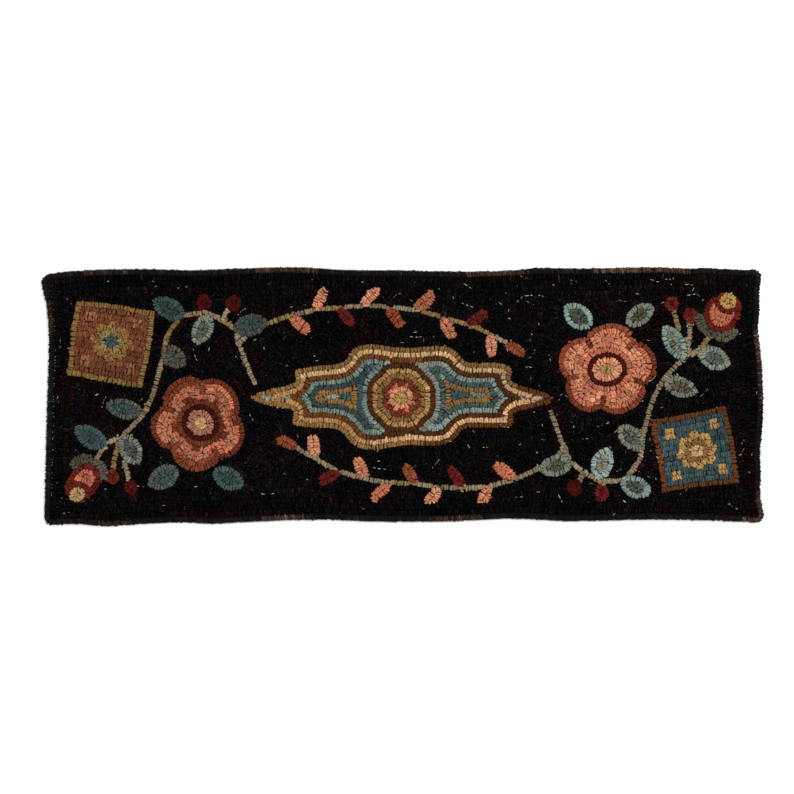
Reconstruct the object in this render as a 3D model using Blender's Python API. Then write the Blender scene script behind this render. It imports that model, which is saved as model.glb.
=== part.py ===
"""A hooked wool rug, 34 by 12 inches, lying flat on its back, with its whipped edge.

The rug has two pieces. The field is one flat slab: linen with wool loops pulled through it, a little
uneven on top, with the two rows of loops along its rim standing up as low ridges. The whipped edge is
one closed ring: yarn wrapped round a cord and the linen's folded rim, flat where it touches the floor.

X runs along the rug, Y across it and Z up. The origin is under the middle of the rug's box.
"""

import bisect
import math
from typing import NamedTuple

import bmesh
import bpy
from mathutils import Vector

MM = 0.001

# Driving sizes, in millimetres
HALF_LENGTH = 432.0
HALF_WIDTH = 152.5
PILE_TOP = 7.0
EDGE_WIDTH = 8.4
EDGE_HEIGHT = 7.5
PIECE_GAP = 0.3
SMALLEST_CORNER = 1.5

# Spacing of the mesh, in millimetres
RIM_STEP = 3.2
FIELD_STEP = 13.5
SECTION_STEPS = 12


class Station(NamedTuple):
    """A place on one side of the rug: how far along it, and how far out of straight it lies."""

    along: float
    sway: float


class Corner(NamedTuple):
    """A corner: the side it is on in X and in Y, how far it reaches out both ways, and its radius."""

    side_x: int
    side_y: int
    out_x: float
    out_y: float
    radius: float


class Swell(NamedTuple):
    """One long wave in the top of the pile: its length, its heading in degrees and its height."""

    length: float
    heading: float
    height: float
    phase: float


class Ripple(NamedTuple):
    """One wave in the thickness of the whipped edge: how many go round the rug, its share and its phase."""

    count: int
    share: float
    phase: float


# The sides sway as the hand-pulled linen does. Each runs clockwise, seen from above.
TOP_SIDE = (
    Station(-396, -1.9), Station(-360, 0.0), Station(-306, 0.3), Station(-252, -0.9),
    Station(-198, 1.2), Station(-126, 2.6), Station(-72, -0.6), Station(0, -1.0),
    Station(37, -2.2), Station(91, -2.4), Station(127, -1.3), Station(163, 2.0),
    Station(208, 1.1), Station(253, 1.8), Station(307, 2.7), Station(343, 1.0),
    Station(361, 2.0), Station(398, -0.3),
)
RIGHT_SIDE = (
    Station(127, -3.9), Station(98, -3.4), Station(76, -5.5), Station(50, -1.6),
    Station(21, 0.0), Station(-13, 1.3), Station(-37, 0.1), Station(-73, -3.0),
    Station(-92, -1.4), Station(-110, -2.7), Station(-130, -1.5),
)
BOTTOM_SIDE = (
    Station(398, 0.0), Station(343, -1.5), Station(289, -2.0), Station(235, -0.6),
    Station(190, 0.0), Station(145, -2.9), Station(109, -2.4), Station(55, 0.1),
    Station(-35, 0.5), Station(-90, -1.6), Station(-144, -1.0), Station(-198, 1.4),
    Station(-234, 3.2), Station(-270, 1.7), Station(-306, 2.7), Station(-360, 6.2),
    Station(-396, 3.3),
)
LEFT_SIDE = (
    Station(-130, 2.4), Station(-95, 1.3), Station(-47, 0.4), Station(-8, -0.7),
    Station(30, -1.9), Station(69, -2.8), Station(98, -0.9), Station(115, 1.2),
)

# The top left corner is drawn out into a small ear, and the lower two are thick with extra turns.
TOP_RIGHT = Corner(1, 1, -1.2, -0.2, 8.0)
BOTTOM_RIGHT = Corner(1, -1, 1.8, 1.6, 7.0)
BOTTOM_LEFT = Corner(-1, -1, 3.1, 4.7, 11.0)
TOP_LEFT = Corner(-1, 1, 6.2, -5.0, 13.0)

PILE_SWELLS = (
    Swell(210.0, 12.0, 0.22, 0.0),
    Swell(135.0, 74.0, 0.16, 1.9),
    Swell(83.0, -38.0, 0.12, 0.7),
    Swell(57.0, 28.0, 0.08, 2.6),
)

# How far the pile drops below its top on each mesh line in from the rim: two rows of loops and their furrows
RIM_DROPS = (1.7, 0.1, 0.9, 0.1, 0.6)

EDGE_RIPPLES = (
    Ripple(11, 0.030, 0.4),
    Ripple(29, 0.022, 1.7),
    Ripple(53, 0.018, 0.9),
)
SECTION_SQUARENESS = 0.8
FOOT_SHARE = 0.125

WOOL_GROUND = (0.010, 0.008, 0.008, 1.0)
WOOL_BINDING = (0.040, 0.027, 0.021, 1.0)
WOOL_ROUGHNESS = 0.95
SHARP_ANGLE = math.radians(50)


def clear_scene():
    """Removes every object of the scene that the script is run in."""
    for item in list(bpy.data.objects):
        bpy.data.objects.remove(item)


def wool(name, colour):
    """A dull wool finish."""
    material = bpy.data.materials.new(name)
    material.use_nodes = True
    shader = material.node_tree.nodes["Principled BSDF"]
    shader.inputs["Base Color"].default_value = colour
    shader.inputs["Roughness"].default_value = WOOL_ROUGHNESS
    shader.inputs["Metallic"].default_value = 0.0
    return material


def corner_points(corner, inset):
    """The start, middle and end of a corner's arc, inset from the rug's outline, clockwise."""
    radius = max(corner.radius - inset, SMALLEST_CORNER)
    centre_x = corner.side_x * (HALF_LENGTH + corner.out_x - inset - radius)
    centre_y = corner.side_y * (HALF_WIDTH + corner.out_y - inset - radius)
    middle = math.degrees(math.atan2(corner.side_y, corner.side_x))
    points = []
    for turn in (45.0, 0.0, -45.0):
        angle = math.radians(middle + turn)
        points.append(Vector((centre_x + radius * math.cos(angle), centre_y + radius * math.sin(angle))))
    return points


def square_corner(corner, inset):
    """Where a corner's two sides would meet if it weren't rounded."""
    return Vector((
        corner.side_x * (HALF_LENGTH + corner.out_x - inset),
        corner.side_y * (HALF_WIDTH + corner.out_y - inset),
    ))


def outline_guide(inset):
    """The points that the outline passes through, and where among them its four corners are.

    It runs clockwise from the middle of the top left corner.
    """
    top = [Vector((s.along, HALF_WIDTH + s.sway - inset)) for s in TOP_SIDE]
    right = [Vector((HALF_LENGTH + s.sway - inset, s.along)) for s in RIGHT_SIDE]
    bottom = [Vector((s.along, -HALF_WIDTH - s.sway + inset)) for s in BOTTOM_SIDE]
    left = [Vector((-HALF_LENGTH - s.sway + inset, s.along)) for s in LEFT_SIDE]
    last = corner_points(TOP_LEFT, inset)
    points = last[1:] + top
    corners = [0]
    for corner, side in ((TOP_RIGHT, right), (BOTTOM_RIGHT, bottom), (BOTTOM_LEFT, left)):
        corners.append(len(points) + 1)
        points += corner_points(corner, inset) + side
    points.append(last[0])
    corners.append(len(points))
    return points, corners


def closed_knots(points):
    """The distance along the closed outline at each of its points, and at its end."""
    knots = [0.0]
    for here, there in zip(points, points[1:] + points[:1]):
        knots.append(knots[-1] + (there - here).length)
    return knots


def on_curve(points, knots, place):
    """The point of the smooth closed curve through the points, at a distance along it."""
    count = len(points)
    place %= knots[-1]
    i = bisect.bisect_right(knots, place) - 1

    def slope(k):
        """The curve's heading at a point, from its two neighbours."""
        before = knots[k] - knots[k - 1] if k > 0 else knots[-1] - knots[-2]
        after = knots[k + 1] - knots[k]
        return (points[(k + 1) % count] - points[k - 1]) / (before + after)

    span = knots[i + 1] - knots[i]
    t = (place - knots[i]) / span
    start, end = points[i], points[(i + 1) % count]
    return (
        start * (2 * t**3 - 3 * t**2 + 1)
        + slope(i) * span * (t**3 - 2 * t**2 + t)
        + end * (3 * t**2 - 2 * t**3)
        + slope((i + 1) % count) * span * (t**3 - t**2)
    )


def graded(length):
    """Shares of a side, 0 to 1: close together for the rim's rows at both ends, and wider between."""
    rim = [k * RIM_STEP for k in range(len(RIM_DROPS))]
    inner = length - 2 * rim[-1]
    steps = round(inner / FIELD_STEP)
    middle = [rim[-1] + inner * k / steps for k in range(1, steps)]
    places = rim + middle + [length - r for r in reversed(rim)]
    return [p / length for p in places]


class Outline:
    """The rug's outline, sampled at the same stations at every inset."""

    def __init__(self):
        """Settles the stations of the four sides on the outer outline, and the middle of its box."""
        points, corners = outline_guide(0.0)
        self.knots = closed_knots(points)
        ends = [self.knots[c] for c in corners]
        self.spans = list(zip(ends, ends[1:]))
        lengths = [b - a for a, b in self.spans]
        self.across = graded((lengths[0] + lengths[2]) / 2)
        self.down = graded((lengths[1] + lengths[3]) / 2)
        self.centre = Vector((0.0, 0.0))
        ring = self.ring(0.0)
        self.centre = Vector((
            (min(p.x for p in ring) + max(p.x for p in ring)) / 2,
            (min(p.y for p in ring) + max(p.y for p in ring)) / 2,
        ))

    def side(self, number, inset):
        """The points of one side, both corners included, clockwise: 0 top, 1 right, 2 bottom, 3 left."""
        points, _ = outline_guide(inset)
        start, end = self.spans[number]
        shares = self.across if number % 2 == 0 else self.down
        return [on_curve(points, self.knots, start + (end - start) * s) - self.centre for s in shares]

    def squares(self, inset):
        """The four corners as they would be unrounded, clockwise from the top left."""
        corners = (TOP_LEFT, TOP_RIGHT, BOTTOM_RIGHT, BOTTOM_LEFT)
        return [square_corner(corner, inset) - self.centre for corner in corners]

    def ring(self, inset):
        """The whole outline, clockwise, each corner once."""
        return [p for number in range(4) for p in self.side(number, inset)[:-1]]


def pile_height(x, y):
    """The height of the pile's top over the floor, in millimetres."""
    height = PILE_TOP
    for swell in PILE_SWELLS:
        heading = math.radians(swell.heading)
        along = x * math.cos(heading) + y * math.sin(heading)
        height += swell.height * math.sin(2 * math.pi * along / swell.length + swell.phase)
    return height


def patch(sides, squares, across, down):
    """Fills four sides with a grid of points, rows from the top side down, each from left to right.

    The inside is worked out as if the corners were square, and only the corner points are rounded.
    """
    top, right, bottom, left = (
        [squares[k]] + side[1:-1] + [squares[(k + 1) % 4]] for k, side in enumerate(sides)
    )
    bottom.reverse()
    left.reverse()
    rows = []
    for j, v in enumerate(down):
        row = []
        for i, u in enumerate(across):
            lengthways = top[i] * (1 - v) + bottom[i] * v
            crossways = left[j] * (1 - u) + right[j] * u
            near_edge = top[0] * (1 - u) + top[-1] * u
            far_edge = bottom[0] * (1 - u) + bottom[-1] * u
            row.append(lengthways + crossways - near_edge * (1 - v) - far_edge * v)
        rows.append(row)
    rows[0][0] = sides[0][0]
    rows[0][-1] = sides[1][0]
    rows[-1][-1] = sides[2][0]
    rows[-1][0] = sides[3][0]
    return rows


def finished(name, mesh_builder, material):
    """Turns built faces into a named object with its material, shaded smooth but for sharp edges."""
    bmesh.ops.recalc_face_normals(mesh_builder, faces=mesh_builder.faces)
    mesh = bpy.data.meshes.new(name)
    mesh_builder.to_mesh(mesh)
    mesh_builder.free()
    mesh.materials.append(material)
    mesh.shade_smooth()
    mesh.set_sharp_from_angle(angle=SHARP_ANGLE)
    item = bpy.data.objects.new(name, mesh)
    bpy.context.scene.collection.objects.link(item)
    return item


def build_field(outline):
    """The hooked field: linen and loops as one flat slab with an uneven top."""
    inset = EDGE_WIDTH + PIECE_GAP
    sides = [outline.side(number, inset) for number in range(4)]
    rows = patch(sides, outline.squares(inset), outline.across, outline.down)
    last_row, last_column = len(rows) - 1, len(rows[0]) - 1
    build = bmesh.new()
    top = []
    for j, row in enumerate(rows):
        line = []
        for i, point in enumerate(row):
            from_rim = min(i, j, last_column - i, last_row - j)
            drop = RIM_DROPS[from_rim] if from_rim < len(RIM_DROPS) else 0.0
            height = pile_height(point.x, point.y) - drop
            line.append(build.verts.new((point.x * MM, point.y * MM, height * MM)))
        top.append(line)
    for j in range(last_row):
        for i in range(last_column):
            build.faces.new((top[j][i], top[j + 1][i], top[j + 1][i + 1], top[j][i + 1]))
    rim = (
        top[0][:-1]
        + [line[-1] for line in top[:-1]]
        + top[-1][:0:-1]
        + [line[0] for line in top[:0:-1]]
    )
    foot = [build.verts.new((v.co.x, v.co.y, 0.0)) for v in rim]
    for k in range(len(rim)):
        after = (k + 1) % len(rim)
        build.faces.new((rim[k], rim[after], foot[after], foot[k]))
    build.faces.new(foot)
    return finished("hooked_field", build, wool("hooked_wool", WOOL_GROUND))


def edge_section(thickness):
    """The whipped edge's section: shares of its width from the outside in, with heights in millimetres.

    It is a rounded oval, cut off level where it rests on the floor.
    """
    oval_height = EDGE_HEIGHT * thickness / (1 - FOOT_SHARE)
    widest = math.cos(math.pi / SECTION_STEPS) ** SECTION_SQUARENESS
    points = []
    for k in range(SECTION_STEPS):
        angle = 2 * math.pi * (k + 0.5) / SECTION_STEPS
        reach, rise = (
            math.copysign(abs(value) ** SECTION_SQUARENESS, value)
            for value in (math.cos(angle), math.sin(angle))
        )
        share = 0.5 - 0.5 * reach / widest
        level = oval_height * (0.5 + 0.5 * rise - FOOT_SHARE)
        points.append((share, max(0.0, level)))
    return points


def build_edge(outline):
    """The whipped edge: one ring round the field."""
    outer = outline.ring(0.0)
    inner = outline.ring(EDGE_WIDTH)
    build = bmesh.new()
    sections = []
    for k, (outside, inside) in enumerate(zip(outer, inner)):
        turn = 2 * math.pi * k / len(outer)
        thickness = 1.0 + sum(r.share * math.sin(r.count * turn + r.phase) for r in EDGE_RIPPLES)
        section = []
        for share, level in edge_section(thickness):
            point = outside.lerp(inside, share)
            section.append(build.verts.new((point.x * MM, point.y * MM, level * MM)))
        sections.append(section)
    for k, section in enumerate(sections):
        following = sections[(k + 1) % len(sections)]
        for i in range(SECTION_STEPS):
            after = (i + 1) % SECTION_STEPS
            build.faces.new((section[i], section[after], following[after], following[i]))
    return finished("whipped_edge", build, wool("binding_yarn", WOOL_BINDING))


def main():
    """Builds the rug's two pieces."""
    clear_scene()
    outline = Outline()
    build_field(outline)
    build_edge(outline)


main()
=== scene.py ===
"""The looks of a hooked wool rug, 34 by 12 inches, lying flat.

Strips of dyed wool are pulled up through linen in rows of small loops, and yarn is whipped round the rim.
The drawing is laid out in millimetres on the rug's plane, with X along the rug and Y across it. Each area
of it is turned into rows of loops that follow its outline, Geometry Nodes put a loop at each place on the
rows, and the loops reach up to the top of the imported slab.
"""

from __future__ import annotations

import itertools
import logging
import math
from dataclasses import dataclass
from enum import Enum
from typing import Iterable, Sequence

import bmesh
import bpy
import numpy as np
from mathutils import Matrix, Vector
from mathutils.bvhtree import BVHTree
from mathutils.kdtree import KDTree

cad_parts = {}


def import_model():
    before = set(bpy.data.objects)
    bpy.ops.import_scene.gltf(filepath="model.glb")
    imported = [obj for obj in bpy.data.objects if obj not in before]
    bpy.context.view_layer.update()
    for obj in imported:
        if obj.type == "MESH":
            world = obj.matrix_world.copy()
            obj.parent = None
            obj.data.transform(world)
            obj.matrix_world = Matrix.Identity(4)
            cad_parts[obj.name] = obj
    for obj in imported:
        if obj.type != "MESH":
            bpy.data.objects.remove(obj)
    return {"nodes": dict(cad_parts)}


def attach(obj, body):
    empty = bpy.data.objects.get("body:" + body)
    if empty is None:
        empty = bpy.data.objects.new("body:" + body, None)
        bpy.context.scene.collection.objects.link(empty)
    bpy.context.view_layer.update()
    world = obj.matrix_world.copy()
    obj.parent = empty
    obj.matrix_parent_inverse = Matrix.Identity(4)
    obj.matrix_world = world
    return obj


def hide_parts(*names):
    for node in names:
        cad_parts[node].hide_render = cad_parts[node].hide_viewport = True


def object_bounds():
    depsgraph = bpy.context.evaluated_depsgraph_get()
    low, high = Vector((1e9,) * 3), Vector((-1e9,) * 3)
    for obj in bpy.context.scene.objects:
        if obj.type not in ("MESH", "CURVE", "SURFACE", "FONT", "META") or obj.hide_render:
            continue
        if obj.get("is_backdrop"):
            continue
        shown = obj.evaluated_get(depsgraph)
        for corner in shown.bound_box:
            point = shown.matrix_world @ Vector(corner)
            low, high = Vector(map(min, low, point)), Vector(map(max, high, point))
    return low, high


LOG = logging.getLogger("rug")

MM = 0.001
SEED = 34
BODY = "root"

# The hooking, in millimetres
ROW_PITCH = 6.4
LOOP_PITCH = 3.0
LOOP_FOOT = 1.5
GRID_STEP = 1.0
CURVE_STEPS = 24

Grid = np.ndarray
Colour = tuple[float, float, float]


class Wool(Enum):
    """Dyed wools, as the share of red, green and blue light that they give back."""

    BLACK = (0.0028, 0.0023, 0.0025)
    INK = (0.0021, 0.0025, 0.0034)
    PLUM_BLACK = (0.0053, 0.0022, 0.0022)
    BARK_BLACK = (0.0048, 0.0032, 0.0024)
    RUST = (0.121, 0.028, 0.011)
    TERRACOTTA = (0.184, 0.045, 0.019)
    CORAL = (0.369, 0.118, 0.061)
    ROSE = (0.419, 0.152, 0.081)
    PEACH = (0.470, 0.193, 0.107)
    BLUSH = (0.303, 0.126, 0.073)
    CREAM = (0.402, 0.243, 0.113)
    GOLD = (0.327, 0.192, 0.068)
    STRAW = (0.180, 0.120, 0.044)
    MAROON = (0.045, 0.0052, 0.0034)
    RED = (0.100, 0.010, 0.0076)
    BERRY = (0.049, 0.0030, 0.0030)
    SAGE = (0.058, 0.068, 0.056)
    GREY_SAGE = (0.068, 0.060, 0.039)
    TEAL = (0.038, 0.062, 0.056)
    DEEP_TEAL = (0.026, 0.046, 0.042)
    PALE_TEAL = (0.160, 0.204, 0.178)
    MIST = (0.142, 0.154, 0.117)
    SLATE = (0.044, 0.068, 0.071)
    BLUE = (0.028, 0.046, 0.050)
    STEM = (0.194, 0.147, 0.091)
    BRICK = (0.128, 0.041, 0.017)
    OCHRE = (0.177, 0.093, 0.030)
    TAN = (0.193, 0.080, 0.038)
    BROWN = (0.089, 0.031, 0.0086)
    UMBER = (0.052, 0.019, 0.0060)


class Yarn(Enum):
    """Yarns of the whipped edge, as the share of red, green and blue light that they give back."""

    CHARCOAL = (0.0085, 0.0068, 0.0062)
    BARK = (0.034, 0.0190, 0.0130)
    RUSSET = (0.058, 0.032, 0.024)
    BOTTLE = (0.0068, 0.0086, 0.0070)
    FAWN = (0.095, 0.062, 0.041)


class Part(Enum):
    """The visible pieces that the loops are sorted into."""

    GROUND_LEFT = "ground_loops_left"
    GROUND_RIGHT = "ground_loops_right"
    MEDALLION = "medallion_loops"
    ROSETTES = "rosette_loops"
    BLOCKS = "block_loops"
    VINE = "vine_loops"
    LEAVES = "leaf_loops"
    BUDS = "bud_and_berry_loops"


def tree_of(points: np.ndarray) -> KDTree:
    """Sorts flat points for quick searches.

    Args:
        points: The points, one a row.

    Returns:
        The tree, in which each point has the number of its row.
    """
    tree = KDTree(len(points))
    for number, (x, y) in enumerate(points):
        tree.insert((x, y, 0.0), number)
    tree.balance()
    return tree


def nearest(to: np.ndarray, at: np.ndarray) -> np.ndarray:
    """Measures how far points are from the nearest of a set."""
    tree = tree_of(to)
    return np.array([tree.find((x, y, 0.0))[2] for x, y in at])


def heading_of(degrees: float) -> tuple[float, float]:
    """Gives the X and Y of a step of one at a turn in degrees."""
    return math.cos(math.radians(degrees)), math.sin(math.radians(degrees))


def left_of(heading: np.ndarray) -> np.ndarray:
    """Gives the directions to the left of some headings, one a row."""
    return np.column_stack([-heading[:, 1], heading[:, 0]])


def length_of(line: np.ndarray) -> float:
    """Measures an open line."""
    return np.hypot(*np.diff(line[:, :2], axis=0).T).sum()


def resampled(line: np.ndarray, closed: bool, step: float) -> np.ndarray:
    """Places points at even steps along a line.

    Args:
        line: The line's points, one a row, as X, Y and anything else that changes along it.
        closed: Whether its end joins its start.
        step: The wanted distance between two points, met as nearly as a whole number of steps allows.

    Returns:
        The new points. An open line keeps its two ends.
    """
    if closed:
        line = np.vstack([line, line[:1]])
    places = np.concatenate([[0.0], np.cumsum(np.hypot(*np.diff(line[:, :2], axis=0).T))])
    count = max(1, round(places[-1] / step))
    wanted = np.linspace(0.0, places[-1], count + 1)
    if closed:
        wanted = wanted[:-1]
    return np.column_stack([np.interp(wanted, places, line[:, k]) for k in range(line.shape[1])])


def smoothed(line: np.ndarray, closed: bool, passes: int) -> np.ndarray:
    """Evens out a line by drawing each point towards its neighbours.

    Args:
        line: The line's points, one a row.
        closed: Whether its end joins its start.
        passes: How often this is done.

    Returns:
        The evened line, with as many points.
    """
    for _ in range(passes):
        before, after = np.roll(line, 1, axis=0), np.roll(line, -1, axis=0)
        if not closed:
            before[0], after[-1] = line[0], line[-1]
        line = 0.25 * before + 0.5 * line + 0.25 * after
    return line


def curve_through(points: Sequence[tuple[float, float]], step: float) -> np.ndarray:
    """Draws a smooth open curve.

    Args:
        points: The points that it passes through, in order.
        step: How far apart its own points are.

    Returns:
        The curve, one point a row.
    """
    first, last = 2 * np.array(points[0]) - points[1], 2 * np.array(points[-1]) - points[-2]
    knots = np.array([first, *points, last])
    share = np.linspace(0.0, 1.0, CURVE_STEPS, endpoint=False)[:, None]
    pieces = [
        b
        + 0.5 * share * (c - a)
        + share**2 * (a - 2.5 * b + 2 * c - 0.5 * d)
        + share**3 * (1.5 * b - 0.5 * a - 1.5 * c + 0.5 * d)
        for a, b, c, d in zip(knots, knots[1:], knots[2:], knots[3:])
    ]
    return resampled(np.vstack([*pieces, knots[-2:-1]]), False, step)


def squared(along: Grid, across: Grid, fullness: float) -> Grid:
    """Gives how many times its half sizes an oval of some fullness would have to grow to reach each place."""
    return (np.abs(along) ** fullness + np.abs(across) ** fullness) ** (1 / fullness)


@dataclass(frozen=True, kw_only=True)
class Shape:
    """A flat shape in the drawing: its middle in millimetres and its turn in degrees."""

    x: float
    y: float
    turn: float = 0.0

    @property
    def reach(self) -> float:
        """How far from its middle it reaches."""
        raise NotImplementedError

    def outside(self, along: Grid, across: Grid) -> Grid:
        """Gives about how far outside the shape places in its own directions are, below zero inside it."""
        raise NotImplementedError

    def local(self, x: Grid, y: Grid) -> tuple[Grid, Grid]:
        """Turns places into the shape's own directions.

        Args:
            x: The places' X in the drawing.
            y: Their Y.

        Returns:
            How far along the shape and across it they are from its middle.
        """
        cosine, sine = heading_of(self.turn)
        across, up = x - self.x, y - self.y
        return across * cosine + up * sine, up * cosine - across * sine

    def depth(self, x: Grid, y: Grid) -> Grid:
        """Gives about how far outside the shape each place is, below zero inside it."""
        return self.outside(*self.local(x, y))

    def box(self) -> tuple[float, float, float, float]:
        """Gives the lowest and highest X and Y that the shape can reach."""
        return self.x - self.reach, self.x + self.reach, self.y - self.reach, self.y + self.reach


@dataclass(frozen=True, kw_only=True)
class Oval(Shape):
    """An oval, or a disc where both its half sizes are the same. Above two, its fullness blunts its ends."""

    half_length: float
    half_width: float
    fullness: float = 2.0

    @property
    def reach(self) -> float:
        """How far from its middle it reaches."""
        return max(self.half_length, self.half_width)

    def outside(self, along: Grid, across: Grid) -> Grid:
        """Gives about how far outside the oval each place is."""
        size = squared(along / self.half_length, across / self.half_width, self.fullness)
        return (size - 1) * self.half_width


@dataclass(frozen=True, kw_only=True)
class Blade(Shape):
    """A leaf's outline, from its stem end at (x, y), widest a little before its middle."""

    length: float
    half_width: float

    SKEW = 0.95
    BLUNTNESS = 0.55

    @property
    def reach(self) -> float:
        """How far from its stem end it reaches."""
        return self.length

    def outside(self, along: Grid, across: Grid) -> Grid:
        """Measures places against the leaf.

        Args:
            along: How far from the stem end they are, along the leaf.
            across: How far from its midrib they are.

        Returns:
            About how far outside the leaf each is.
        """
        share = np.clip(along / self.length, 0.0, 1.0)
        width = self.half_width * np.sin(np.pi * share**self.SKEW) ** self.BLUNTNESS
        past = np.maximum(-along, along - self.length)
        return np.maximum(np.abs(across) - width, past)


@dataclass(frozen=True, kw_only=True)
class Scallop(Shape):
    """A round shape whose rim runs in lobes."""

    radius: float
    lobes: int
    dip: float

    FULLNESS = 0.7

    @property
    def reach(self) -> float:
        """How far from its middle it reaches."""
        return self.radius

    def outside(self, along: Grid, across: Grid) -> Grid:
        """Gives about how far outside the lobes each place is."""
        lobe = np.abs(np.cos(self.lobes * np.arctan2(across, along) / 2)) ** self.FULLNESS
        return np.hypot(along, across) - self.radius + self.dip * (1 - lobe)


@dataclass(frozen=True, kw_only=True)
class Ring(Shape):
    """A round band, one row wide."""

    radius: float
    widest: float = 5.6

    STEPS = 200

    @property
    def reach(self) -> float:
        """How far from its middle it reaches."""
        return self.radius + self.widest / 2

    def line(self) -> np.ndarray:
        """Gives the band's middle line, once round."""
        angle = np.linspace(0.0, 2 * math.pi, self.STEPS)
        return np.column_stack([self.x + self.radius * np.cos(angle), self.y + self.radius * np.sin(angle)])

    def outside(self, along: Grid, across: Grid) -> Grid:
        """Gives how far outside the band each place is."""
        return np.abs(np.hypot(along, across) - self.radius) - self.widest / 2


@dataclass(frozen=True, kw_only=True)
class Square(Shape):
    """A square with slightly rounded corners."""

    half: float
    corner: float

    @property
    def reach(self) -> float:
        """How far from its middle it reaches."""
        return self.half * math.sqrt(2)

    def outside(self, along: Grid, across: Grid) -> Grid:
        """Measures places against the square.

        Args:
            along: How far from its middle they are, along one side.
            across: How far, along the other.

        Returns:
            How far outside the square each is.
        """
        along, across = (np.abs(side) - self.half + self.corner for side in (along, across))
        past = np.hypot(np.maximum(along, 0), np.maximum(across, 0))
        return past + np.minimum(np.maximum(along, across), 0) - self.corner


@dataclass(frozen=True, kw_only=True)
class Lozenge(Shape):
    """A long lozenge with rounded sides that run in waves."""

    half_length: float
    half_width: float
    waves: int
    swing: float
    fullness: float

    @property
    def reach(self) -> float:
        """How far from its middle it reaches."""
        return self.half_length * (1 + self.swing)

    def outside(self, along: Grid, across: Grid) -> Grid:
        """Measures places against the lozenge.

        Args:
            along: How far from its middle they are, along it.
            across: How far, across it.

        Returns:
            About how far outside the lozenge each is.
        """
        along, across = along / self.half_length, across / self.half_width
        wave = self.swing * np.cos(self.waves * np.arctan2(across, along))
        return (squared(along, across, self.fullness) - 1 - wave) * self.half_width


@dataclass(frozen=True, kw_only=True)
class Stem(Shape):
    """A stem one row wide along a smooth curve through its points, which are in the drawing's own place."""

    points: tuple[tuple[float, float], ...]
    widest: float = 5.8
    x: float = 0.0
    y: float = 0.0

    STEP = 0.75
    SLACK = 0.01

    def line(self) -> np.ndarray:
        """Gives the stem's middle line."""
        return curve_through(self.points, self.STEP)

    def box(self) -> tuple[float, float, float, float]:
        """Finds the stem's box.

        Returns:
            The lowest and highest X and Y that the stem can reach.
        """
        line = self.line()
        low, high = line.min(axis=0) - ROW_PITCH, line.max(axis=0) + ROW_PITCH
        return low[0], high[0], low[1], high[1]

    def depth(self, x: Grid, y: Grid) -> Grid:
        """Measures places against the stem, which ends square.

        Args:
            x: The places' X in the drawing.
            y: Their Y.

        Returns:
            How far outside the stem each is.
        """
        line = self.line()
        places = np.column_stack([x.ravel(), y.ravel()])
        away = nearest(line, places)
        for end, inner in ((line[0], line[1]), (line[-1], line[-2])):
            beyond = (places - end) @ (end - inner) / math.dist(end, inner)
            capped = np.hypot(*(places - end).T) <= away + self.SLACK
            away[capped] = np.maximum(away, beyond + self.widest / 2)[capped]
        return away.reshape(x.shape) - self.widest / 2


Wools = tuple[Wool, ...]


class Laid(Enum):
    """How the rows of an area run: along its outline, straight across it, or one along its middle."""

    ECHO = "echo"
    STRAIGHT = "straight"
    ONE_ROW = "one row"


@dataclass(frozen=True, kw_only=True)
class Patch:
    """One area of the drawing: its shape, its wools for each row from its outline in, and its piece.

    Where it is graded, a row's wool goes by how deep in the shape the row lies, also round a hole in it.
    """

    shape: Shape
    rows: tuple[Wools, ...]
    part: Part
    laid: Laid = Laid.ECHO
    graded: bool = False


@dataclass(frozen=True, kw_only=True)
class Rosette:
    """A round flower: lobed rows of coral, with a short line in from each notch, and a ringed pale eye."""

    x: float
    y: float
    turn: float
    rows: tuple[Wools, ...]
    heart: Wools
    lobes: int = 5
    radius: float = 58.0
    dip: float = 10.5
    ring_radius: float = 19.5
    heart_radius: float = 16.7
    eye_radius: float = 7.5
    line_from: float = 34.0
    line_to: float = 46.0

    def patches(self) -> list[Patch]:
        """Draws the flower.

        Returns:
            Its areas, the uppermost first.
        """
        place = {"x": self.x, "y": self.y}
        eye, heart = (
            Oval(**place, half_length=radius, half_width=radius)
            for radius in (self.eye_radius, self.heart_radius)
        )
        ring = Ring(**place, radius=self.ring_radius)
        rose = Scallop(**place, turn=self.turn, radius=self.radius, lobes=self.lobes, dip=self.dip)
        found = [
            Patch(shape=eye, rows=((Wool.CREAM, Wool.GOLD), (Wool.GOLD,)), part=Part.ROSETTES),
            Patch(shape=heart, rows=(self.heart,), part=Part.ROSETTES),
            Patch(shape=ring, rows=((Wool.MAROON,),), part=Part.ROSETTES, laid=Laid.ONE_ROW),
        ]
        middle = (self.line_from + self.line_to) / 2
        for number in range(self.lobes):
            x, y = heading_of(self.turn + 360 * (number + 0.5) / self.lobes)
            line = Stem(points=tuple(
                (self.x + reach * x, self.y + reach * y) for reach in (self.line_from, middle, self.line_to)
            ))
            wools = (Wool.RUST, Wool.TERRACOTTA)
            found.append(Patch(shape=line, rows=(wools,), part=Part.ROSETTES, laid=Laid.ONE_ROW))
        return [*found, Patch(shape=rose, rows=self.rows, part=Part.ROSETTES, graded=True)]


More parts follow.
